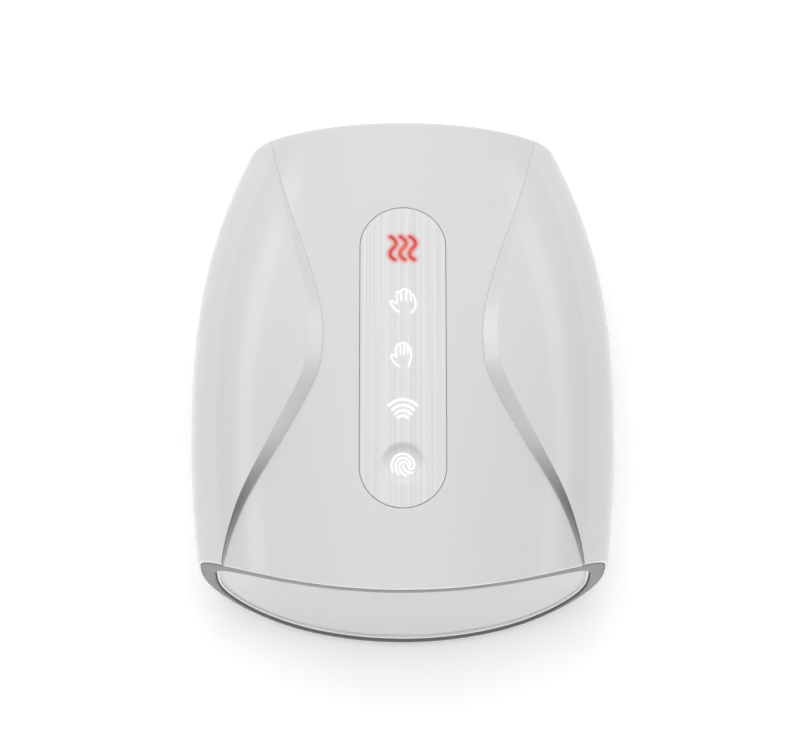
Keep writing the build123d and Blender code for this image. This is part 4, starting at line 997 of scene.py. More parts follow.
# %% Strength: four arcs, and the finger's print in the dish
strength_arcs = [
    [(-5.4, 1.3), (-4.0, 2.5), (-2.2, 3.35), (0.0, 3.7), (2.2, 3.35), (4.0, 2.5), (5.4, 1.3)],
    [(-4.1, -0.5), (-2.5, 0.8), (0.0, 1.5), (2.5, 0.8), (4.1, -0.5)],
    [(-3.0, -2.2), (-1.7, -1.1), (0.0, -0.7), (1.7, -1.1), (3.0, -2.2)],
    [(-1.9, -3.7), (-0.9, -3.0), (0.0, -2.75), (0.9, -3.0), (1.9, -3.7)]]
ridges = [
    [(-3.8, -2.8), (-4.3, -1.3), (-4.3, 0.6), (-3.6, 2.4), (-2.4, 3.6), (-0.9, 4.3), (0.7, 4.3), (2.2, 3.6),
     (3.6, 2.2), (4.3, 0.6), (4.2, -0.7), (3.3, -1.7), (2.5, -1.4), (2.0, -0.4), (1.4, 0.6), (0.2, 1.1),
     (-0.9, 0.8), (-1.4, -0.2), (-1.1, -2.0), (-0.1, -3.5), (1.3, -4.3)],
    [(-1.7, -3.7), (-2.6, -2.0), (-2.8, 0.0), (-2.2, 1.7), (-0.9, 2.6), (0.3, 2.7), (1.7, 2.1), (2.6, 1.1),
     (2.9, -0.1)],
    [(0.0, -0.3), (0.4, -1.5), (1.3, -2.5), (2.3, -3.1), (3.5, -3.3)]]
strength_y, print_y = dish_y + 21.8 * MM, dish_y - 0.2 * MM
strength = symbol("symbol_strength", strength_arcs, strength_y, 0.86, "white_light")
finger = symbol("symbol_finger", ridges, print_y, 0.6, "white_light")

# %% Let the light bleed into the panel
bleed_reach = {"red_light": 1.0 * MM, "white_light": 0.5 * MM}


def mark_light(piece, name, marks):
    """Store on each point how strongly the light of the nearest stroke reaches it."""
    tree = KDTree(len(marks))
    for index, (x, y, half) in enumerate(marks):
        tree.insert((x, y, 0), index)
    tree.balance()
    glow = piece.data.attributes.new(name, "FLOAT", "POINT")
    for index, vert in enumerate(piece.data.vertices):
        _, nearest, distance = tree.find((vert.co.x, vert.co.y, 0))
        away = max(0, distance - marks[nearest][2]) / bleed_reach[name]
        glow.data[index].value = math.exp(-away * away) if away < 4 else 0.0


for light_name, marks in light_marks.items():
    mark_light(panel, light_name, marks)
print("light marks:", {light_name: len(marks) for light_name, marks in light_marks.items()})

# %% [markdown]
# ## Soft parts round the pocket
# The hand lies between two padded faces: a lower pad over the massage nubs and an upper pad under
# the crown. A pad is laid as rings from its rounded outline to its middle. Its edge is rolled, a sewn
# channel runs just inside the edge, and the lower pad rises a little over each nub. The moves are
# given one by one, as a sculptor would make them, because the pads are thin foam that hardly swells.

# %% Outline of the pads
pad_corner, pad_corner_steps = 12 * MM, 8


def pad_outline(front_half, back_half, start, end):
    """Rounded outline of a pad that is wider at the mouth, anticlockwise."""
    corners = [(front_half, start), (back_half, end), (-back_half, end), (-front_half, start)]
    points = []
    for index, corner in enumerate(corners):
        corner = Vector(corner)
        enter = (Vector(corners[index - 1]) - corner).normalized()
        leave = (Vector(corners[(index + 1) % 4]) - corner).normalized()
        half_turn = enter.angle(leave) / 2
        middle = corner + (enter + leave).normalized() * pad_corner / math.sin(half_turn)
        first, last = (corner + side * pad_corner / math.tan(half_turn) - middle for side in (enter, leave))
        for step in range(pad_corner_steps + 1):
            share = step / pad_corner_steps
            points.append(middle + (first * (1 - share) + last * share).normalized() * pad_corner)
    return points


def even_line(points, count, closed=True):
    """The same line again with evenly spaced points."""
    line = points + [points[0]] if closed else points
    reached = [0]
    for before, after in zip(line, line[1:]):
        reached.append(reached[-1] + (after - before).length)
    places, index = [], 1
    for step in range(count):
        goal = reached[-1] * step / (count if closed else count - 1)
        while index < len(line) - 1 and reached[index] < goal:
            index += 1
        share = (goal - reached[index - 1]) / (reached[index] - reached[index - 1])
        places.append(line[index - 1].lerp(line[index], share))
    return places


def line_middle(line):
    return sum(line, Vector((0, 0))) / len(line)


inner_ring, layer_side = 0.03, 3.5 * MM


def level(z):
    """A flat face."""
    return lambda x, y: z


def under_crown(drop):
    """A face that follows the crown at a depth below it."""
    return lambda x, y: crown_z(x, y, drop, layer_side)


def soft_slab(name, outline, low, high, relief, roll=0.06, rings=44):
    """Closed pad between two heights; relief(x, y, share, face) is how far a face is pressed in."""
    middle, count = line_middle(outline), len(outline)
    shares = [inner_ring + (1 - inner_ring) * step / rings for step in range(rings + 1)]
    profile = [(share, 1) for share in shares] + [(share, -1) for share in reversed(shares)]

    def place(column, row):
        share, face = profile[row]
        x, y = middle + (outline[column % count] - middle) * share
        edge = min(1, (1 - share) / roll)
        fill = math.sqrt(max(0, 1 - (1 - edge) ** 2))
        bottom, top = low(x, y), high(x, y)
        half = (top - bottom) / 2
        return Vector((x, y, (bottom + top) / 2 + face * fill * (half - relief(x, y, share, face))))

    bm = moulded_grid(count, len(profile) - 1, place, (1, 1))
    cut = bm.loops.layers.uv["cloth"]
    for face in bm.faces:
        for loop in face.loops:
            loop[cut].uv = loop.vert.co.xy
    close_up(bm, 2e-6)
    return piece_from(bm, name, sharp_angle=70)


# %% Lower pad over the nubs
nub_pitch, nub_middle_y, nub_row_count, nubs_in_row = 15.5 * MM, 4.5 * MM, 7, 6
nub_places = [((column - (nubs_in_row - row % 2 - 1) / 2) * nub_pitch,
               nub_middle_y + (row - nub_row_count // 2) * nub_pitch)
              for row in range(nub_row_count) for column in range(nubs_in_row - row % 2)]
nub_spread, quilt_rim = 5.0 * MM, 0.1
channel_share, channel_spread = 0.9, 0.022
channel_depth, between_nubs = 0.55 * MM, 0.5 * MM


def sewn_channel(share):
    return channel_depth * math.exp(-((share - channel_share) / channel_spread) ** 2)


def lower_pad_relief(x, y, share, face):
    """Pressed in at the sewn channel and, on top, between the nubs."""
    if face < 0:
        return 0.0
    near = min((x - nx) ** 2 + (y - ny) ** 2 for nx, ny in nub_places)
    quilt = between_nubs * (1 - math.exp(-near / nub_spread ** 2)) * min(1, (1 - share) / quilt_rim)
    return sewn_channel(share) + quilt


def upper_pad_relief(x, y, share, face):
    return sewn_channel(share) if face < 0 else 0.0


pad_low, pad_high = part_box("lower_pad")
pad_line = even_line(pad_outline(54 * MM, 45 * MM, front_y + 41 * MM, back_y - 32 * MM), 180)
lower_pad = soft_slab("pad_lower", pad_line, level(pad_low.z), level(pad_high.z), lower_pad_relief)
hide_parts("lower_pad")
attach(lower_pad, "lower_press")

# %% Upper pad under the crown
upper_pad_drop, pad_thickness = 16.85 * MM, 3.1 * MM
upper_pad = soft_slab("pad_upper", pad_line, under_crown(upper_pad_drop + pad_thickness),
                      under_crown(upper_pad_drop), upper_pad_relief)
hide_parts("upper_pad")
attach(upper_pad, "upper_press")

# %% Stitches in the sewn channels
stitch_pitch, stitch_length, stitch_radius = 3.4 * MM, 2.2 * MM, 0.28 * MM


def stitch_row(name, height, body):
    """A row of short threads along the channel; height(x, y) is the pad's face there."""
    middle = line_middle(pad_line)
    channel = [middle + (point - middle) * channel_share for point in pad_line]
    around = sum((b - a).length for a, b in zip(channel, channel[1:] + channel[:1]))
    places = even_line(channel, int(around / stitch_pitch))
    bm = bmesh.new()
    for place, after in zip(places, places[1:] + places[:1]):
        along = (after - place).normalized() * stitch_length / 2
        ends = [Vector((p.x, p.y, height(p.x, p.y))) for p in (place - along, place + along)]
        turn = (ends[1] - ends[0]).to_track_quat("Z", "Y").to_matrix().to_4x4()
        bmesh.ops.create_uvsphere(bm, u_segments=6, v_segments=4, radius=1,
                                  matrix=Matrix.Translation((ends[0] + ends[1]) / 2) @ turn
                                  @ Matrix.Diagonal((stitch_radius, stitch_radius, stitch_length / 2, 1)))
    piece = piece_from(bm, name, sharp_angle=60)
    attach(piece, body)
    return piece


lower_stitches = stitch_row("pad_lower_stitches", level(pad_high.z - channel_depth), "lower_press")
upper_stitches = stitch_row("pad_upper_stitches", under_crown(upper_pad_drop + pad_thickness - channel_depth),
                            "upper_press")

# %% [markdown]
# ## Air bags
# Each bag is two films welded round the rim. The rim is thin and flat, and the film puckers where it
# leaves the weld. The lower bag has a flat neck that reaches its air line. It lifts the nub plate.

# %% The two bags
bag_low, bag_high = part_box("lower_airbag")
bag_line = even_line(pad_outline(43 * MM, 34 * MM, front_y + 51 * MM, back_y - 44 * MM), 200)
bag_middle_y = sum(point.y for point in bag_line) / len(bag_line)
bag_half, weld_half, bag_roll = 1.75 * MM, 0.45 * MM, 0.012
bag_top = bag_low.z + 2 * bag_half
upper_bag_drop = 11.9 * MM
weld_share, belly_share = 0.91, 0.72
pucker_count, pucker_depth = 46, 0.28 * MM


def bag_relief(x, y, share, face):
    """Flat weld at the rim, puckers next to it, and a full belly."""
    swell = smooth_share(1 - share, 1 - weld_share, 1 - belly_share)
    turn = math.atan2(y - bag_middle_y, x)
    pucker = pucker_depth * (0.5 + 0.5 * math.sin(turn * pucker_count)) * 4 * swell * (1 - swell)
    return (bag_half - weld_half) * (1 - swell) + pucker


lower_bag = soft_slab("air_bag_lower", bag_line, level(bag_low.z), level(bag_top), bag_relief, bag_roll)
upper_bag = soft_slab("air_bag_upper", bag_line, under_crown(upper_bag_drop + 2 * bag_half),
                      under_crown(upper_bag_drop), bag_relief, bag_roll)

# %% The lower bag's neck, and the upper bag's place on the base
neck_y, neck_half, neck_rise, neck_round = -22 * MM, 4.5 * MM, 1.2 * MM, 0.4 * MM
neck_start, neck_end = 30 * MM, bag_high.x
neck_bm = bmesh.new()
bmesh.ops.create_cube(neck_bm, size=1)
bmesh.ops.scale(neck_bm, vec=(neck_end - neck_start, 2 * neck_half, neck_rise), verts=neck_bm.verts)
bmesh.ops.translate(neck_bm, verts=neck_bm.verts,
                    vec=((neck_start + neck_end) / 2, neck_y, bag_low.z + neck_rise / 2))
bmesh.ops.bevel(neck_bm, geom=list(neck_bm.edges), offset=neck_round, segments=3, profile=0.5,
                affect="EDGES", material=-1)
neck_bm.from_mesh(lower_bag.data)
neck_bm.to_mesh(lower_bag.data)
neck_bm.free()
for bag, node in ((lower_bag, "lower_airbag"), (upper_bag, "upper_airbag")):
    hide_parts(node)
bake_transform(lower_bag)
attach(upper_bag, "base")

# %% [markdown]
# ## Pocket sleeve
# The side and back walls of the pocket are one strip of the lining's fabric. It stands on the tray,
# runs from one side of the throat round the back to the other side, and its top edge follows the
# carrier. A dip in that edge lets the upper air line through.

# %% The sleeve
sleeve_low, sleeve_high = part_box("pocket_sleeve")
sleeve_wall = 1.4 * MM
sleeve_back_half, sleeve_taper = 49.4 * MM, 9.0 / 122.2
line_y, line_half, line_height, line_flank = -8.0 * MM, 3.0 * MM, 63.2 * MM, 3
carrier_gap = 0.2 * MM
sleeve_columns, sleeve_rows = 220, 24


def sleeve_line(inset):
    """Path of the wall from the right side round the back to the left."""
    end = sleeve_high.y - inset
    start = sleeve_low.y
    back_half = sleeve_back_half - inset
    front_half = back_half + (end - start) * sleeve_taper
    corners = pad_outline(front_half, back_half, start, end)
    right = [Vector((front_half, start))] + [p for p in corners if p.x > 0 and p.y > 0]
    left = [p for p in corners if p.x < 0 and p.y > 0] + [Vector((-front_half, start))]
    return even_line(right + left, sleeve_columns + 1, closed=False)


def sleeve_top(x, y):
    """The wall's height: just below the carrier, with a dip round the upper air line."""
    top = under_crown(upper_bag_drop)(x, y) - carrier_gap
    dip = line_height + line_flank * max(0, abs(y - line_y) - line_half)
    return min(top, dip) if x > 0 else top


sleeve_outside, sleeve_inside = sleeve_line(0), sleeve_line(sleeve_wall)
sleeve_profile = [(step / sleeve_rows, 0) for step in range(sleeve_rows + 1)]
sleeve_profile += [(1 - step / sleeve_rows, 1) for step in range(sleeve_rows + 1)] + [(0, 0)]


def sleeve_place(column, row):
    share, inside = sleeve_profile[row]
    x, y = (sleeve_inside if inside else sleeve_outside)[column]
    return Vector((x, y, between(sleeve_low.z, sleeve_top(*sleeve_outside[column]), share)))


def sleeve_face(column, row):
    x, y = sleeve_outside[column]
    return Vector((x, y, between(sleeve_low.z, sleeve_top(x, y), row / sleeve_rows)))


sleeve_cut = cloth_lengths(sleeve_columns, sleeve_rows, sleeve_face)
sleeve_tall = max(sleeve_top(*point) for point in sleeve_outside) - sleeve_low.z
sleeve_bm = moulded_grid(sleeve_columns, len(sleeve_profile) - 1, sleeve_place,
                         (sleeve_cut[0], 2 * sleeve_cut[1]))
close_up(sleeve_bm, 2e-6)
sleeve = piece_from(sleeve_bm, "pocket_wall")
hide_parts("pocket_sleeve")
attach(sleeve, "base")
print("sleeve cut %.0f by %.0f mm" % (sleeve_cut[0] / MM, sleeve_tall / MM))

# %% [markdown]
# ## Valve springs
# Each exhaust valve has a tiny return spring between its plunger and its pole. A wire's round section
# is spun up into the coil. The spring is squeezed when the plunger rises.

# %% The two springs
wire_radius, spring_turns, steps_in_turn = 0.2 * MM, 4, 24
springs = []
for which in ("lower", "upper"):
    low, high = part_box(which + "_valve_spring")
    middle = (low + high) / 2
    coil_radius = (high.x - low.x) / 2 - wire_radius
    spring_bm = bmesh.new()
    bmesh.ops.create_circle(
        spring_bm, segments=10, radius=wire_radius,
        matrix=Matrix.Translation((middle.x + coil_radius, middle.y, low.z + wire_radius))
        @ Matrix.Rotation(math.pi / 2, 4, "X"))
    steps = spring_turns * steps_in_turn
    rise = (high.z - low.z - 2 * wire_radius) / steps
    bmesh.ops.spin(spring_bm, geom=list(spring_bm.verts) + list(spring_bm.edges),
                   cent=(middle.x, middle.y, 0), axis=(0, 0, 1), dvec=(0, 0, rise),
                   angle=2 * math.pi * spring_turns, steps=steps, use_merge=False)
    close_up(spring_bm, 1e-7)
    spring = piece_from(spring_bm, which + "_return_spring", sharp_angle=60)
    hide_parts(which + "_valve_spring")
    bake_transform(spring)
    springs.append(spring)

# %% [markdown]
# ## Materials
# Each finish is one Principled shader and a few shared effects. An effect that several finishes use
# is a node group with named sockets: the fine unevenness of moulded parts, brushed or drawn lines on
# metal, a slow drift of colour, and a knitted weave. The groups only give values, heights and
# colours, and the constants stay on the shader itself.

# %% Node helpers
finishes = {}


def give(tree, node, values):
    """Fill a node's inputs by label: a value is a constant or another node's output."""
    for label, value in values.items():
        if isinstance(value, bpy.types.NodeSocket):
            tree.links.new(value, node.inputs[label])
        else:
            node.inputs[label].default_value = value
    return node


def add_node(tree, kind, values=(), **settings):
    """A new node; its settings come first, because they decide which inputs it has."""
    node = tree.nodes.new("ShaderNode" + kind)
    for setting, value in settings.items():
        setattr(node, setting, value)
    return give(tree, node, dict(values))


def calc(tree, operation, *values):
    """The result of a Math node."""
    return add_node(tree, "Math", enumerate(values), operation=operation).outputs[0]


def noise_of(tree, vector, scale, detail=2.0):
    return add_node(tree, "TexNoise", {"Vector": vector, "Scale": scale, "Detail": detail}).outputs["Fac"]


def remap(tree, value, from_min, from_max, to_min, to_max):
    return add_node(tree, "MapRange", {"Value": value, "From Min": from_min, "From Max": from_max,
                                       "To Min": to_min, "To Max": to_max}).outputs["Result"]


def mix_colours(tree, factor, a, b, blend="MIX"):
    return add_node(tree, "Mix", {"Factor": factor, "A": a, "B": b}, data_type="RGBA",
                    blend_type=blend).outputs["Result"]


def effect(name, inputs, outputs):
    """A node group with a Vector input; the kind of each other input follows from its value."""
    kinds = {1: "NodeSocketFloat", 3: "NodeSocketVector", 4: "NodeSocketColor"}
    group = bpy.data.node_groups.new(name, "ShaderNodeTree")
    group.interface.new_socket("Vector", in_out="INPUT", socket_type="NodeSocketVector")
    for label, value in inputs.items():
        kind = kinds[1 if isinstance(value, float) else len(value)]
        group.interface.new_socket(label, in_out="INPUT", socket_type=kind).default_value = value
    for label in outputs:
        kind = kinds[4 if label == "Color" else 1]
        group.interface.new_socket(label, in_out="OUTPUT", socket_type=kind)
    return group, group.nodes.new("NodeGroupInput").outputs, group.nodes.new("NodeGroupOutput")


def swayed(group, given, value):
    """The group's roughness, moved up and down by a value that varies round a half."""
    sway = calc(group, "MULTIPLY", calc(group, "SUBTRACT", value, 0.5), given["Spread"])
    return calc(group, "ADD", given["Roughness"], sway)


# %% Effect: the fine unevenness of a moulded face
moulded, given, result = effect("moulded_unevenness", {"Grain": 900.0, "Roughness": 0.4, "Spread": 0.08},
                                ("Roughness", "Height"))
smudge_scale, grain_part, smudge_part = 38.0, 0.4, 0.6
grain = noise_of(moulded, given["Vector"], given["Grain"], 3.0)
smudge = noise_of(moulded, given["Vector"], smudge_scale)
uneven = calc(moulded, "ADD", calc(moulded, "MULTIPLY", grain, grain_part),
              calc(moulded, "MULTIPLY", smudge, smudge_part))
give(moulded, result, {"Roughness": swayed(moulded, given, uneven), "Height": grain})

# %% Effect: brushed or drawn lines
brushed, given, result = effect(
    "brushed_lines", {"Stretch": (1.0, 1.0, 1.0), "Roughness": 0.35, "Spread": 0.2}, ("Roughness", "Height"))
pull = add_node(brushed, "VectorMath", {0: given["Vector"], 1: given["Stretch"]}, operation="MULTIPLY")
lines = noise_of(brushed, pull.outputs[0], 1.0, 4.0)
give(brushed, result, {"Roughness": swayed(brushed, given, lines), "Height": lines})

# %% Effect: a slow drift of colour
drift, given, result = effect("colour_drift", {"Scale": 60.0, "Color": (0.8, 0.8, 0.8, 1.0), "Amount": 0.1},
                              ("Color",))
patches = noise_of(drift, given["Vector"], given["Scale"], 3.0)
sway = calc(drift, "MULTIPLY", calc(drift, "SUBTRACT", patches, 0.5), given["Amount"])
tone = add_node(drift, "HueSaturation", {"Color": given["Color"], "Value": calc(drift, "ADD", sway, 1.0)})
give(drift, result, {"Color": tone.outputs["Color"]})

# %% Effect: a knitted weave, with painted shade in its hollows
knit, given, result = effect("knit_weave", {"Pitch": 0.0007}, ("Height", "Shade"))
hollow_painted_shade, yarn_painted_shade = 0.9, 0.14
split = add_node(knit, "SeparateXYZ", {0: given["Vector"]}).outputs
wale = calc(knit, "DIVIDE", split["X"], given["Pitch"])
course = calc(knit, "DIVIDE", split["Y"], given["Pitch"])
leg = calc(knit, "PINGPONG", wale, 0.5)
ridge = calc(knit, "PINGPONG", calc(knit, "ADD", course, leg), 0.5)
yarn = calc(knit, "SINE", calc(knit, "MULTIPLY", leg, 2 * math.pi))
height = calc(knit, "MULTIPLY", calc(knit, "MULTIPLY", ridge, 2.0), yarn)
# The Shade output is painted shade: darker in the weave's hollows, a little lighter on the yarn's tops
shade = calc(knit, "ADD", calc(knit, "MULTIPLY", height, yarn_painted_shade), hollow_painted_shade)
give(knit, result, {"Height": height, "Shade": shade})
print("effects:", [group.name for group in (moulded, brushed, drift, knit)])


# %% A finish from a colour, a roughness and an effect
def new_material(name):
    """A material, its node tree, its shader and the outputs of its Texture Coordinate node."""
    material = finishes[name] = bpy.data.materials.new(name)
    material.use_nodes = True
    tree = material.node_tree
    return material, tree, tree.nodes["Principled BSDF"], add_node(tree, "TexCoord").outputs


def place_effect(tree, group, vector, **values):
    return add_node(tree, "Group", {"Vector": vector, **values}, node_tree=group).outputs


def bump_from(tree, shader, height, distance, strength):
    bump = add_node(tree, "Bump", {"Height": height, "Distance": distance, "Strength": strength})
    give(tree, shader, {"Normal": bump.outputs["Normal"]})


def grained_finish(name, group, face_values, drift_values, bump=None, **constants):
    """Roughness, colour and relief from the effects; bump is its depth and strength."""
    material, tree, shader, coords = new_material(name)
    face = place_effect(tree, group, coords["Object"], **face_values)
    colour = place_effect(tree, drift, coords["Object"], **drift_values)["Color"]
    give(tree, shader, {"Roughness": face["Roughness"], "Base Color": colour})
    give(tree, shader, {label.replace("_", " "): value for label, value in constants.items()})
    if bump:
        bump_from(tree, shader, face["Height"], *bump)
    return material, tree, shader, colour


def moulded_finish(name, color, roughness, grain=900.0, spread=0.08, depth=0.004, amount=0.05, coat=0.0):
    """Plastic, rubber or film with a fine grain and a slow drift of colour."""
    return grained_finish(name, moulded, {"Grain": grain, "Roughness": roughness, "Spread": spread},
                          {"Scale": 45.0, "Color": (*color, 1), "Amount": amount}, (depth * MM, 0.5),
                          Coat_Weight=coat)[0]


def metal_finish(name, color, roughness, stretch, depth=0.006):
    """Metal with lines along one direction, the one with the smallest stretch."""
    return grained_finish(name, brushed, {"Stretch": stretch, "Roughness": roughness, "Spread": 0.25},
                          {"Scale": 220.0, "Color": (*color, 1), "Amount": 0.12}, (depth * MM, 0.6),
                          Metallic=1.0)[0]


def knitted_finish(name, color, pitch, depth, contrast):
    """Knitted fabric that follows the piece's own UV map, in metres of cloth."""
    material, tree, shader, coords = new_material(name)
    weave = place_effect(tree, knit, coords["UV"], Pitch=pitch)
    colour = place_effect(tree, drift, coords["Object"], Scale=30.0, Color=(*color, 1), Amount=0.05)
    # The weave's painted shade darkens the colour in its hollows
    shade = mix_colours(tree, contrast, colour["Color"], weave["Shade"], "MULTIPLY")
    give(tree, shader, {"Base Color": shade, "Roughness": 0.9, "Sheen Weight": 0.15})
    bump_from(tree, shader, weave["Height"], depth * MM, 0.5)
    return material


def dress(material, *pieces):
    for piece in pieces:
        piece.data.materials.clear()
        piece.data.materials.append(material)


# %% Finishes of the outside
shell_white = moulded_finish("shell_white", (0.80, 0.80, 0.81), 0.22, grain=700.0, spread=0.05, depth=0.0006,
                             amount=0.012, coat=0.4)
# The slopes' painted shade is read as the shell's metallic share
slope_shade_mask = add_node(shell_white.node_tree, "Attribute", attribute_name="slope_painted_shade")
give(shell_white.node_tree, shell_white.node_tree.nodes["Principled BSDF"],
     {"Metallic": slope_shade_mask.outputs["Fac"]})
bezel_grey = moulded_finish("bezel_grey", (0.178, 0.181, 0.178), 0.38, grain=2600.0, spread=0.06,
                            amount=0.04)
trim_white = moulded_finish("trim_white", (0.88, 0.88, 0.88), 0.25, depth=0.001, amount=0.01, coat=0.3)
liner_fabric = knitted_finish("liner_fabric", (0.80, 0.80, 0.80), 0.0006, 0.02, 0.4)
pad_fabric = knitted_finish("pad_fabric", (0.76, 0.76, 0.78), 0.0012, 0.12, 1.0)
thread = moulded_finish("stitch_thread", (0.62, 0.62, 0.64), 0.7, grain=3000.0, depth=0.02)
dress(shell_white, upper_shell, lower_shell)
dress(bezel_grey, bezel)
dress(trim_white, trim)
dress(liner_fabric, liner, sleeve)
dress(pad_fabric, lower_pad, upper_pad)
dress(thread, lower_stitches, upper_stitches)
print("outside finishes:", sorted(finishes))

# %% The panel: fine lengthwise lines under a clear coat, tinted where light bleeds in
panel_gloss, tree, shader, coords = new_material("panel_gloss")
line_stretch = (1500.0, 6.0, 6.0)
line_low, line_high, line_dark, line_light = 0.25, 0.75, 0.77, 0.92
fine_lines = place_effect(tree, brushed, coords["Object"], Stretch=line_stretch, Roughness=0.2, Spread=0.06)
colour = remap(tree, fine_lines["Height"], line_low, line_high, line_dark, line_light)
for light_name, tint, most in (("red_light", (0.90, 0.20, 0.20, 1), 0.85),
                               ("white_light", (1, 1, 1, 1), 0.5)):
    glow = add_node(tree, "Attribute", attribute_name=light_name).outputs["Fac"]
    colour = mix_colours(tree, calc(tree, "MULTIPLY", glow, most), colour, tint)
give(tree, shader, {"Roughness": fine_lines["Roughness"], "Base Color": colour, "Coat Weight": 0.5})
dress(panel_gloss, panel)


# %% The lit symbols
glow_reach = 6 * MM


def glow_finish(name, core, rim, middle):
    """Lit plastic: the light is strongest near the lamp behind the symbol's middle."""
    material, tree, shader, coords = new_material(name)
    away = add_node(tree, "VectorMath", {0: coords["Object"], 1: middle}, operation="DISTANCE")
    share = calc(tree, "MULTIPLY", away.outputs["Value"], 1 / glow_reach)
    fade = mix_colours(tree, share, (*core, 1), (*rim, 1))
    give(tree, shader, {"Base Color": fade, "Emission Color": fade, "Emission Strength": 0.3,
                        "Roughness": 0.3})
    return material


red_glow = ((0.70, 0.14, 0.07), (0.56, 0.05, 0.045))
white_glow = ((1, 1, 1), (0.96, 0.96, 0.97))
for piece, colours, y in ((heat, red_glow, heat_y), (palm, white_glow, palm_y),
                          (fingers, white_glow, fingers_y), (strength, white_glow, strength_y),
                          (finger, white_glow, print_y)):
    dress(glow_finish("glow_" + piece.name, *colours, tuple(on_panel(0, y, 0))), piece)

# %% [markdown]
# ## Finishes of the inner parts
# Nobody sees these with the shell closed. Each slot of the record gets its own finish: drawn steel,
# wound copper, solder mask, rubber, silicone and film.

# %% Plain inner finishes: colour, roughness, and what sets each apart
for name, color, roughness, more in (
        ("guide_white", (0.86, 0.86, 0.85), 0.5, {"amount": 0.04}),
        ("inner_plastic", (0.055, 0.058, 0.065), 0.55, {"grain": 1600.0, "depth": 0.01, "amount": 0.12}),
        ("airbag_film", (0.12, 0.13, 0.15), 0.3,
         {"grain": 160.0, "spread": 0.12, "depth": 0.08, "amount": 0.1, "coat": 0.3}),
        ("nub_plastic", (0.58, 0.60, 0.62), 0.45, {"grain": 1200.0, "depth": 0.006, "amount": 0.06}),
        ("chip_black", (0.012, 0.012, 0.014), 0.55, {"grain": 3200.0, "depth": 0.01, "amount": 0.2}),
        ("connector_cream", (0.72, 0.66, 0.50), 0.45, {"amount": 0.06}),
        ("capacitor_sleeve", (0.010, 0.013, 0.045), 0.25, {"grain": 500.0, "amount": 0.2, "coat": 0.4}),
        ("valve_plastic", (0.022, 0.022, 0.024), 0.5, {"grain": 1500.0, "depth": 0.008, "amount": 0.15}),
        ("pump_plastic", (0.018, 0.018, 0.021), 0.48, {"grain": 1800.0, "depth": 0.01, "amount": 0.15}),
        ("magnet_dark", (0.035, 0.034, 0.034), 0.6, {"grain": 2400.0, "depth": 0.02, "amount": 0.25}),
        ("rubber_black", (0.014, 0.014, 0.014), 0.75, {"grain": 2200.0, "depth": 0.015, "amount": 0.2}),
        ("rubber_grey", (0.11, 0.115, 0.12), 0.8, {"grain": 2000.0, "depth": 0.015, "amount": 0.12}),
        ("tube_silicone", (0.62, 0.62, 0.58), 0.35, {"grain": 600.0, "amount": 0.1, "coat": 0.2}),
        ("cell_sleeve", (0.018, 0.10, 0.28), 0.28,
         {"grain": 420.0, "spread": 0.12, "depth": 0.01, "amount": 0.12, "coat": 0.4})):
    moulded_finish(name, color, roughness, **more)
print(len(finishes), "finishes so far")

# %% Metals: the lines run along the smallest stretch
metal_finish("screw_steel", (0.55, 0.56, 0.60), 0.3, (2500.0, 2500.0, 2500.0))
metal_finish("valve_steel", (0.52, 0.53, 0.56), 0.32, (900.0, 900.0, 60.0))
metal_finish("motor_steel", (0.60, 0.61, 0.62), 0.3, (40.0, 1800.0, 1800.0))
metal_finish("rotor_steel", (0.34, 0.34, 0.35), 0.4, (3200.0, 60.0, 60.0), depth=0.03)
metal_finish("socket_steel", (0.62, 0.62, 0.65), 0.28, (1400.0, 80.0, 1400.0))


# %% Banded finishes: windings, flat cable, heating tracks
def banded_finish(name, light, dark, pitch, axis, roughness, sway=0.0, sway_pitch=0.01, metallic=0.0,
                  depth=0.05, share=0.5):
    """Bands of two colours along one axis; sway bends them from side to side along the next axis."""
    tree, shader, coords = new_material(name)[1:]
    split = add_node(tree, "SeparateXYZ", {0: coords["Object"]}).outputs
    across, along = split[axis], split["XYZ"[("XYZ".index(axis) + 1) % 3]]
    wave = calc(tree, "SINE", calc(tree, "MULTIPLY", along, 2 * math.pi / sway_pitch))
    bent = calc(tree, "ADD", across, calc(tree, "MULTIPLY", wave, sway))
    band = calc(tree, "PINGPONG", calc(tree, "DIVIDE", bent, pitch), 0.5)
    crown = calc(tree, "MULTIPLY", band, 2.0)
    pick = calc(tree, "GREATER_THAN", crown, share)
    bands = mix_colours(tree, pick, (*dark, 1), (*light, 1))
    colour = place_effect(tree, drift, coords["Object"], Scale=150.0, Amount=0.15, Color=bands)["Color"]
    give(tree, shader, {"Base Color": colour, "Roughness": roughness, "Metallic": metallic})
    bump_from(tree, shader, crown, depth * MM, 0.6)


banded_finish("coil_copper", (0.62, 0.22, 0.07), (0.30, 0.09, 0.03), 0.45 * MM, "Z", 0.3, metallic=0.9,
              depth=0.12, share=0.2)
banded_finish("ribbon_film", (0.70, 0.66, 0.56), (0.46, 0.26, 0.14), 1.0 * MM, "X", 0.4, depth=0.03,
              share=0.45)
banded_finish("heating_film", (0.016, 0.016, 0.018), (0.34, 0.31, 0.29), 9.0 * MM, "X", 0.42,
              sway=3.0 * MM, sway_pitch=12 * MM, depth=0.04, share=0.16)

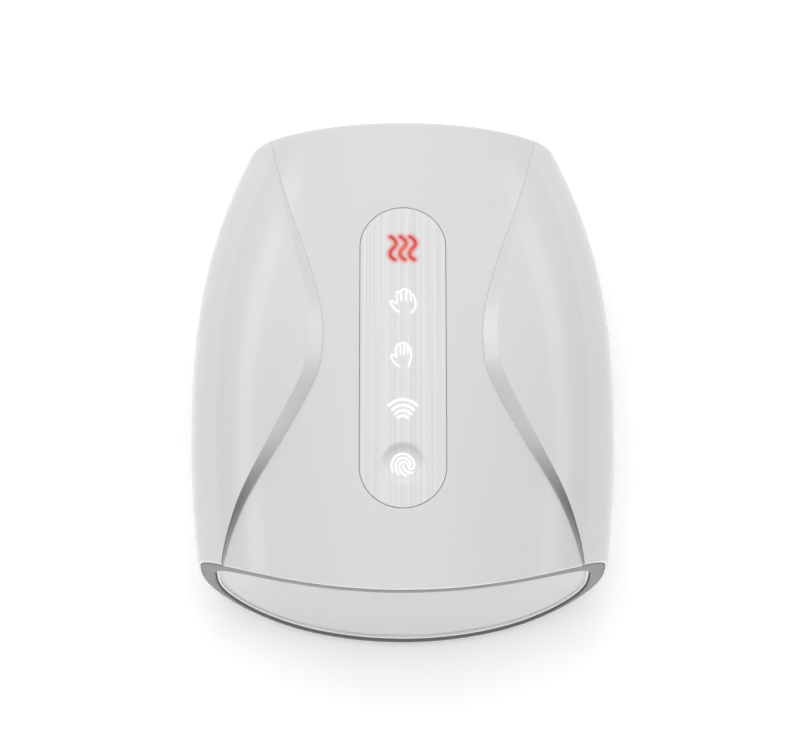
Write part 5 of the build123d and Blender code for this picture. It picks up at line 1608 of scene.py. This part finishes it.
# %% Circuit boards: solder mask, tracks and plated pads
tree, shader, coords = new_material("board_green")[1:]
vector = coords["Object"]
tracks = add_node(tree, "TexBrick", {
    "Vector": vector, "Scale": 120.0, "Mortar Size": 0.035, "Color1": (0.008, 0.075, 0.03, 1),
    "Color2": (0.010, 0.090, 0.036, 1), "Mortar": (0.022, 0.17, 0.07, 1)}).outputs
dots = add_node(tree, "TexVoronoi", {"Vector": vector, "Scale": 260.0}).outputs["Distance"]
plated = mix_colours(tree, calc(tree, "LESS_THAN", dots, 0.17), tracks["Color"], (0.60, 0.50, 0.28, 1))
face = place_effect(tree, moulded, vector, Grain=900.0, Roughness=0.35, Spread=0.1)
give(tree, shader, {"Base Color": plated, "Roughness": face["Roughness"], "Coat Weight": 0.3})
bump_from(tree, shader, tracks["Fac"], 0.03 * MM, 0.5)

# %% LEDs: clear bodies with a lit phosphor
tree, shader, colour = grained_finish(
    "led_clear", moulded, {"Grain": 1500.0, "Roughness": 0.2, "Spread": 0.08},
    {"Scale": 900.0, "Color": (0.90, 0.84, 0.55, 1), "Amount": 0.3}, Emission_Strength=0.4)[1:]
give(tree, shader, {"Emission Color": colour})

# %% Dress the parts that keep their CAD meshes
for row in frame["record"]["subparts"]:
    node = frame["nodes"][row["node"]]
    finish = finishes[row["material_slot"]]
    for holder in node.material_slots:
        holder.material = finish
    if not node.material_slots:
        node.data.materials.append(finish)
dress(finishes["airbag_film"], lower_bag, upper_bag)
dress(finishes["screw_steel"], *springs)

# %% [markdown]
# ## Floor, lamps and world
# The floor is white. Rays from the camera, and rays that gloss and glass send on, see it a little
# brighter than it is lit, and more so further out where the lamps don't reach, so the page stays
# white while the soft shadow under the object stays. A large soft lamp from above and two weaker
# strips at the sides light the shell, and a low one in front lights the inside of the mouth.

# %% The floor
floor_half_size = 1.3
floor_bm = bmesh.new()
bmesh.ops.create_grid(floor_bm, x_segments=8, y_segments=8, size=floor_half_size)
floor = piece_from(floor_bm, "floor")
floor_white, tree, shader = grained_finish(
    "floor_white", moulded, {"Grain": 60.0, "Roughness": 0.3, "Spread": 0.04},
    {"Scale": 3.0, "Color": (0.94, 0.94, 0.94, 1), "Amount": 0.01}, Emission_Color=(1, 1, 1, 1))[:3]
floor_lift, far_lift = 0.27, 0.75
near_floor, far_floor = 0.35, 1.1
rays = add_node(tree, "LightPath").outputs
seen = calc(tree, "MAXIMUM", rays["Is Camera Ray"], rays["Is Glossy Ray"])
seen = calc(tree, "MAXIMUM", seen, rays["Is Transmission Ray"])
vector = tree.nodes["Texture Coordinate"].outputs["Object"]
away = add_node(tree, "VectorMath", {0: vector}, operation="LENGTH").outputs["Value"]
lift = remap(tree, away, near_floor, far_floor, floor_lift, far_lift)
give(tree, shader, {"Emission Strength": calc(tree, "MULTIPLY", seen, lift)})
floor.data.materials.append(floor_white)


# %% Lamps
def soft_lamp(name, place, size, power, target=(0, 0, 0.05)):
    data = bpy.data.lights.new(name, "AREA")
    data.shape = "RECTANGLE"
    data.size, data.size_y = size
    data.energy = power
    lamp = bpy.data.objects.new(name, data)
    lamp.location = place
    lamp.rotation_euler = (Vector(target) - Vector(place)).to_track_quat("-Z", "Y").to_euler()
    bpy.context.scene.collection.objects.link(lamp)
    return lamp


key = soft_lamp("overhead_softbox", (-0.05, 0.15, 1.6), (1.2, 1.2), 12.0)
key.visible_glossy = False
soft_lamp("left_strip", (-1.05, 0.42, 0.66), (1.3, 0.25), 1.2)
soft_lamp("right_strip", (1.05, 0.42, 0.66), (1.3, 0.25), 0.95)
soft_lamp("mouth_fill", (0.0, -0.7, 0.09), (0.9, 0.1), 2.75, target=(0, 0, 0.03))

# %% World: brighter behind the object than in front, and white where the camera sees it
front_strength, back_strength = 0.16, 0.66
front_reach, back_reach = -0.3, 0.5
world = bpy.data.worlds.new("studio")
world.use_nodes = True
sky = world.node_tree
direction = add_node(sky, "SeparateXYZ", {"Vector": add_node(sky, "TexCoord").outputs["Generated"]}).outputs
glow = remap(sky, direction["Y"], front_reach, back_reach, front_strength, back_strength)
rays = add_node(sky, "LightPath").outputs
seen = calc(sky, "MAXIMUM", rays["Is Camera Ray"], rays["Is Transmission Ray"])
give(sky, sky.nodes["Background"], {"Strength": calc(sky, "MAXIMUM", glow, seen), "Color": (1, 1, 1, 1)})
bpy.context.scene.world = world
bpy.context.scene.view_settings.view_transform = "Standard"
